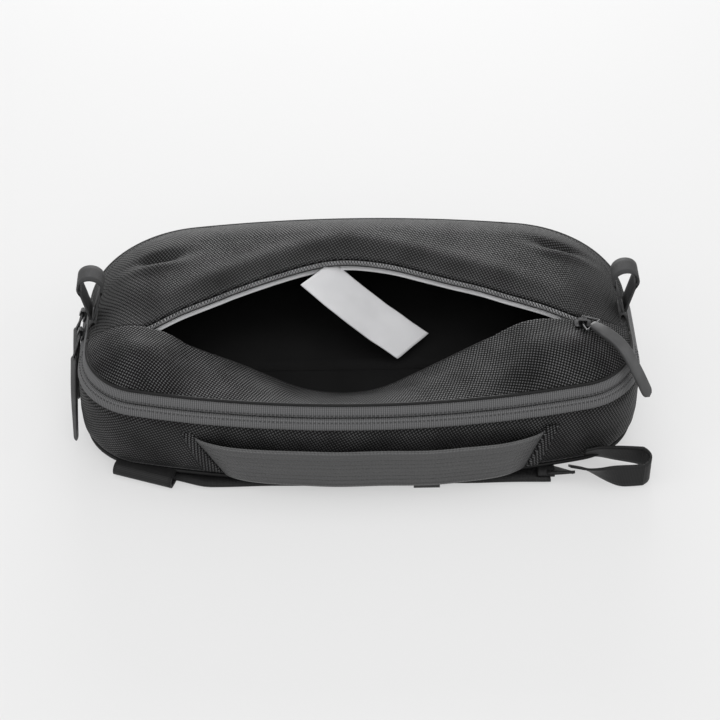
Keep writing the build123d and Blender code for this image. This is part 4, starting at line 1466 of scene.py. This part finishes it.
def back_cloth():
    """The bag's back, inside its binding, a little full around the pad."""

    def place(r, c):
        x = (HALF_WIDTH - 3.5) * math.sin((c - 0.5) * math.pi) * 0.999
        start, end = edge_top(x, 3.5), edge_bottom(x, 3.5)
        y = start + (end - start) * (0.5 + 0.5 * math.sin((r - 0.5) * math.pi))
        return Vector((x, y, 7.7 + 0.35 * ripple(x, y, 3.0, 30)))

    return thicken(grid("back_cloth", 50, 90, place, flip=True), 1.2, -1.0)


dress(back_cloth(), BALLISTIC, "bag_fabric", "bag_back")


def back_binding():
    """Rolled binding round the foot of the wall."""
    path = []
    for k in range(260):
        s = 2 * HALF_RIM * k / 260
        point, normal = rim_past_end(s)
        path.append(point - normal * 2.6 + Vector((0, 0, Z_WALL - 1.2)))
    return tube("back_binding", path, 1.3, 10, True)


dress(back_binding(), SEAM_CLOTH, "bag_fabric", "bag_back")


# ---- main lining and tablet sleeve ----

LINING_LOW, LINING_HIGH = corners("main_lining")
SLEEVE_LOW, SLEEVE_HIGH = corners("sleeve_panel")


def lining_wall():
    inset = HALF_WIDTH - LINING_HIGH.x + 0.3

    def place(r, c):
        s = 2 * HALF_RIM * c
        point, normal = rim_past_end(s)
        z = LINING_LOW.z + 0.5 + (LINING_HIGH.z - LINING_LOW.z - 1) * r
        lean = max(z - Z_BAND, 0) * LEAN / (Z_PANEL - Z_BAND)
        point = point - normal * (inset + lean + 1.2 * (1 - smooth((z - LINING_LOW.z) / 8)))
        return Vector((point.x, point.y, z))

    return thicken(grid("lining_wall", 16, 160, place), 0.7)


def lining_floor():
    inset = HALF_WIDTH - LINING_HIGH.x + 1.4

    def place(r, c):
        x = (HALF_WIDTH - inset) * math.sin((c - 0.5) * math.pi) * 0.999
        start, end = edge_top(x, inset), edge_bottom(x, inset)
        y = start + (end - start) * (0.5 + 0.5 * math.sin((r - 0.5) * math.pi))
        return Vector((x, y, LINING_LOW.z + 0.9 + 0.2 * ripple(x, y, 4.0, 30)))

    return thicken(grid("lining_floor", 40, 80, place), 0.7)


main_lining = join("main_lining_cloth", [lining_wall(), lining_floor()])
dress(main_lining, DARK_LINING, "dark_lining", "bag_back", "main_lining")

sleeve = thin_pad("sleeve_panel_pad", SLEEVE_LOW, SLEEVE_HIGH, 7.0, SLEEVE_QUILT)
dress(sleeve, DARK_LINING, "dark_lining", "bag_back", "sleeve_panel")


# ---- camera, floor and light ----

TARGET = Vector((-0.34, -15.0, 45.0)) * MM
VIEW = Vector((-0.01686, -0.74296, 0.66913))
camera_data = bpy.data.cameras.new("camera")
camera_data.lens = 104.0
camera_data.sensor_width = 36.0
camera_data.shift_x = 0.0028
camera_data.shift_y = -0.0153
camera_data.clip_start, camera_data.clip_end = 0.05, 50.0
camera = bpy.data.objects.new("camera", camera_data)
camera.location = TARGET + VIEW * 1.3
camera.rotation_euler = VIEW.to_track_quat("Z", "Y").to_euler()
bpy.context.scene.collection.objects.link(camera)
bpy.context.scene.camera = camera

FLOOR_HALF = 9000
floor = mesh(
    "floor",
    [(FLOOR_HALF * x, FLOOR_HALF * y, 0) for x, y in ((-1, -1), (1, -1), (1, 1), (-1, 1))],
    [(0, 1, 2, 3)],
)
floor_nodes = Nodes(
    "studio_floor", (0.86, 0.86, 0.86), 0.7, Specular_IOR_Level=0.1,
    Emission_Color=(1.0, 1.0, 1.0, 1.0), Emission_Strength=0.5,
)
floor_nodes.colour(floor_nodes.noise(3.0), 0.0, 1.0, (0.245, 0.245, 0.245), (0.255, 0.255, 0.255))
floor.data.materials.append(floor_nodes.material)


def lamp(name, place, size, power):
    """A soft rectangular light aimed at the bag."""
    data = bpy.data.lights.new(name, "AREA")
    data.shape = "RECTANGLE"
    data.size, data.size_y = size
    data.energy = power
    light = bpy.data.objects.new(name, data)
    light.location = place
    light.rotation_euler = (Vector(place) - TARGET).to_track_quat("Z", "Y").to_euler()
    bpy.context.scene.collection.objects.link(light)


lamp("overhead", (0.0, 0.0, 1.6), (2.0, 1.5), 8.0)
lamp("back", (0.0, 1.4, 0.5), (0.9, 0.4), 16.0)
lamp("left", (-1.3, -0.3, 0.7), (0.8, 0.9), 4.0)
lamp("right", (1.3, -0.2, 0.8), (0.8, 0.9), 4.0)
lamp("front", (0.0, -1.2, 1.0), (1.6, 0.8), 7.0)

world = bpy.data.worlds.new("studio")
world.use_nodes = True
world.node_tree.nodes["Background"].inputs[0].default_value = (0.9, 0.9, 0.9, 1)
world.node_tree.nodes["Background"].inputs[1].default_value = 0.8
bpy.context.scene.world = world
bpy.context.scene.view_settings.view_transform = "Standard"
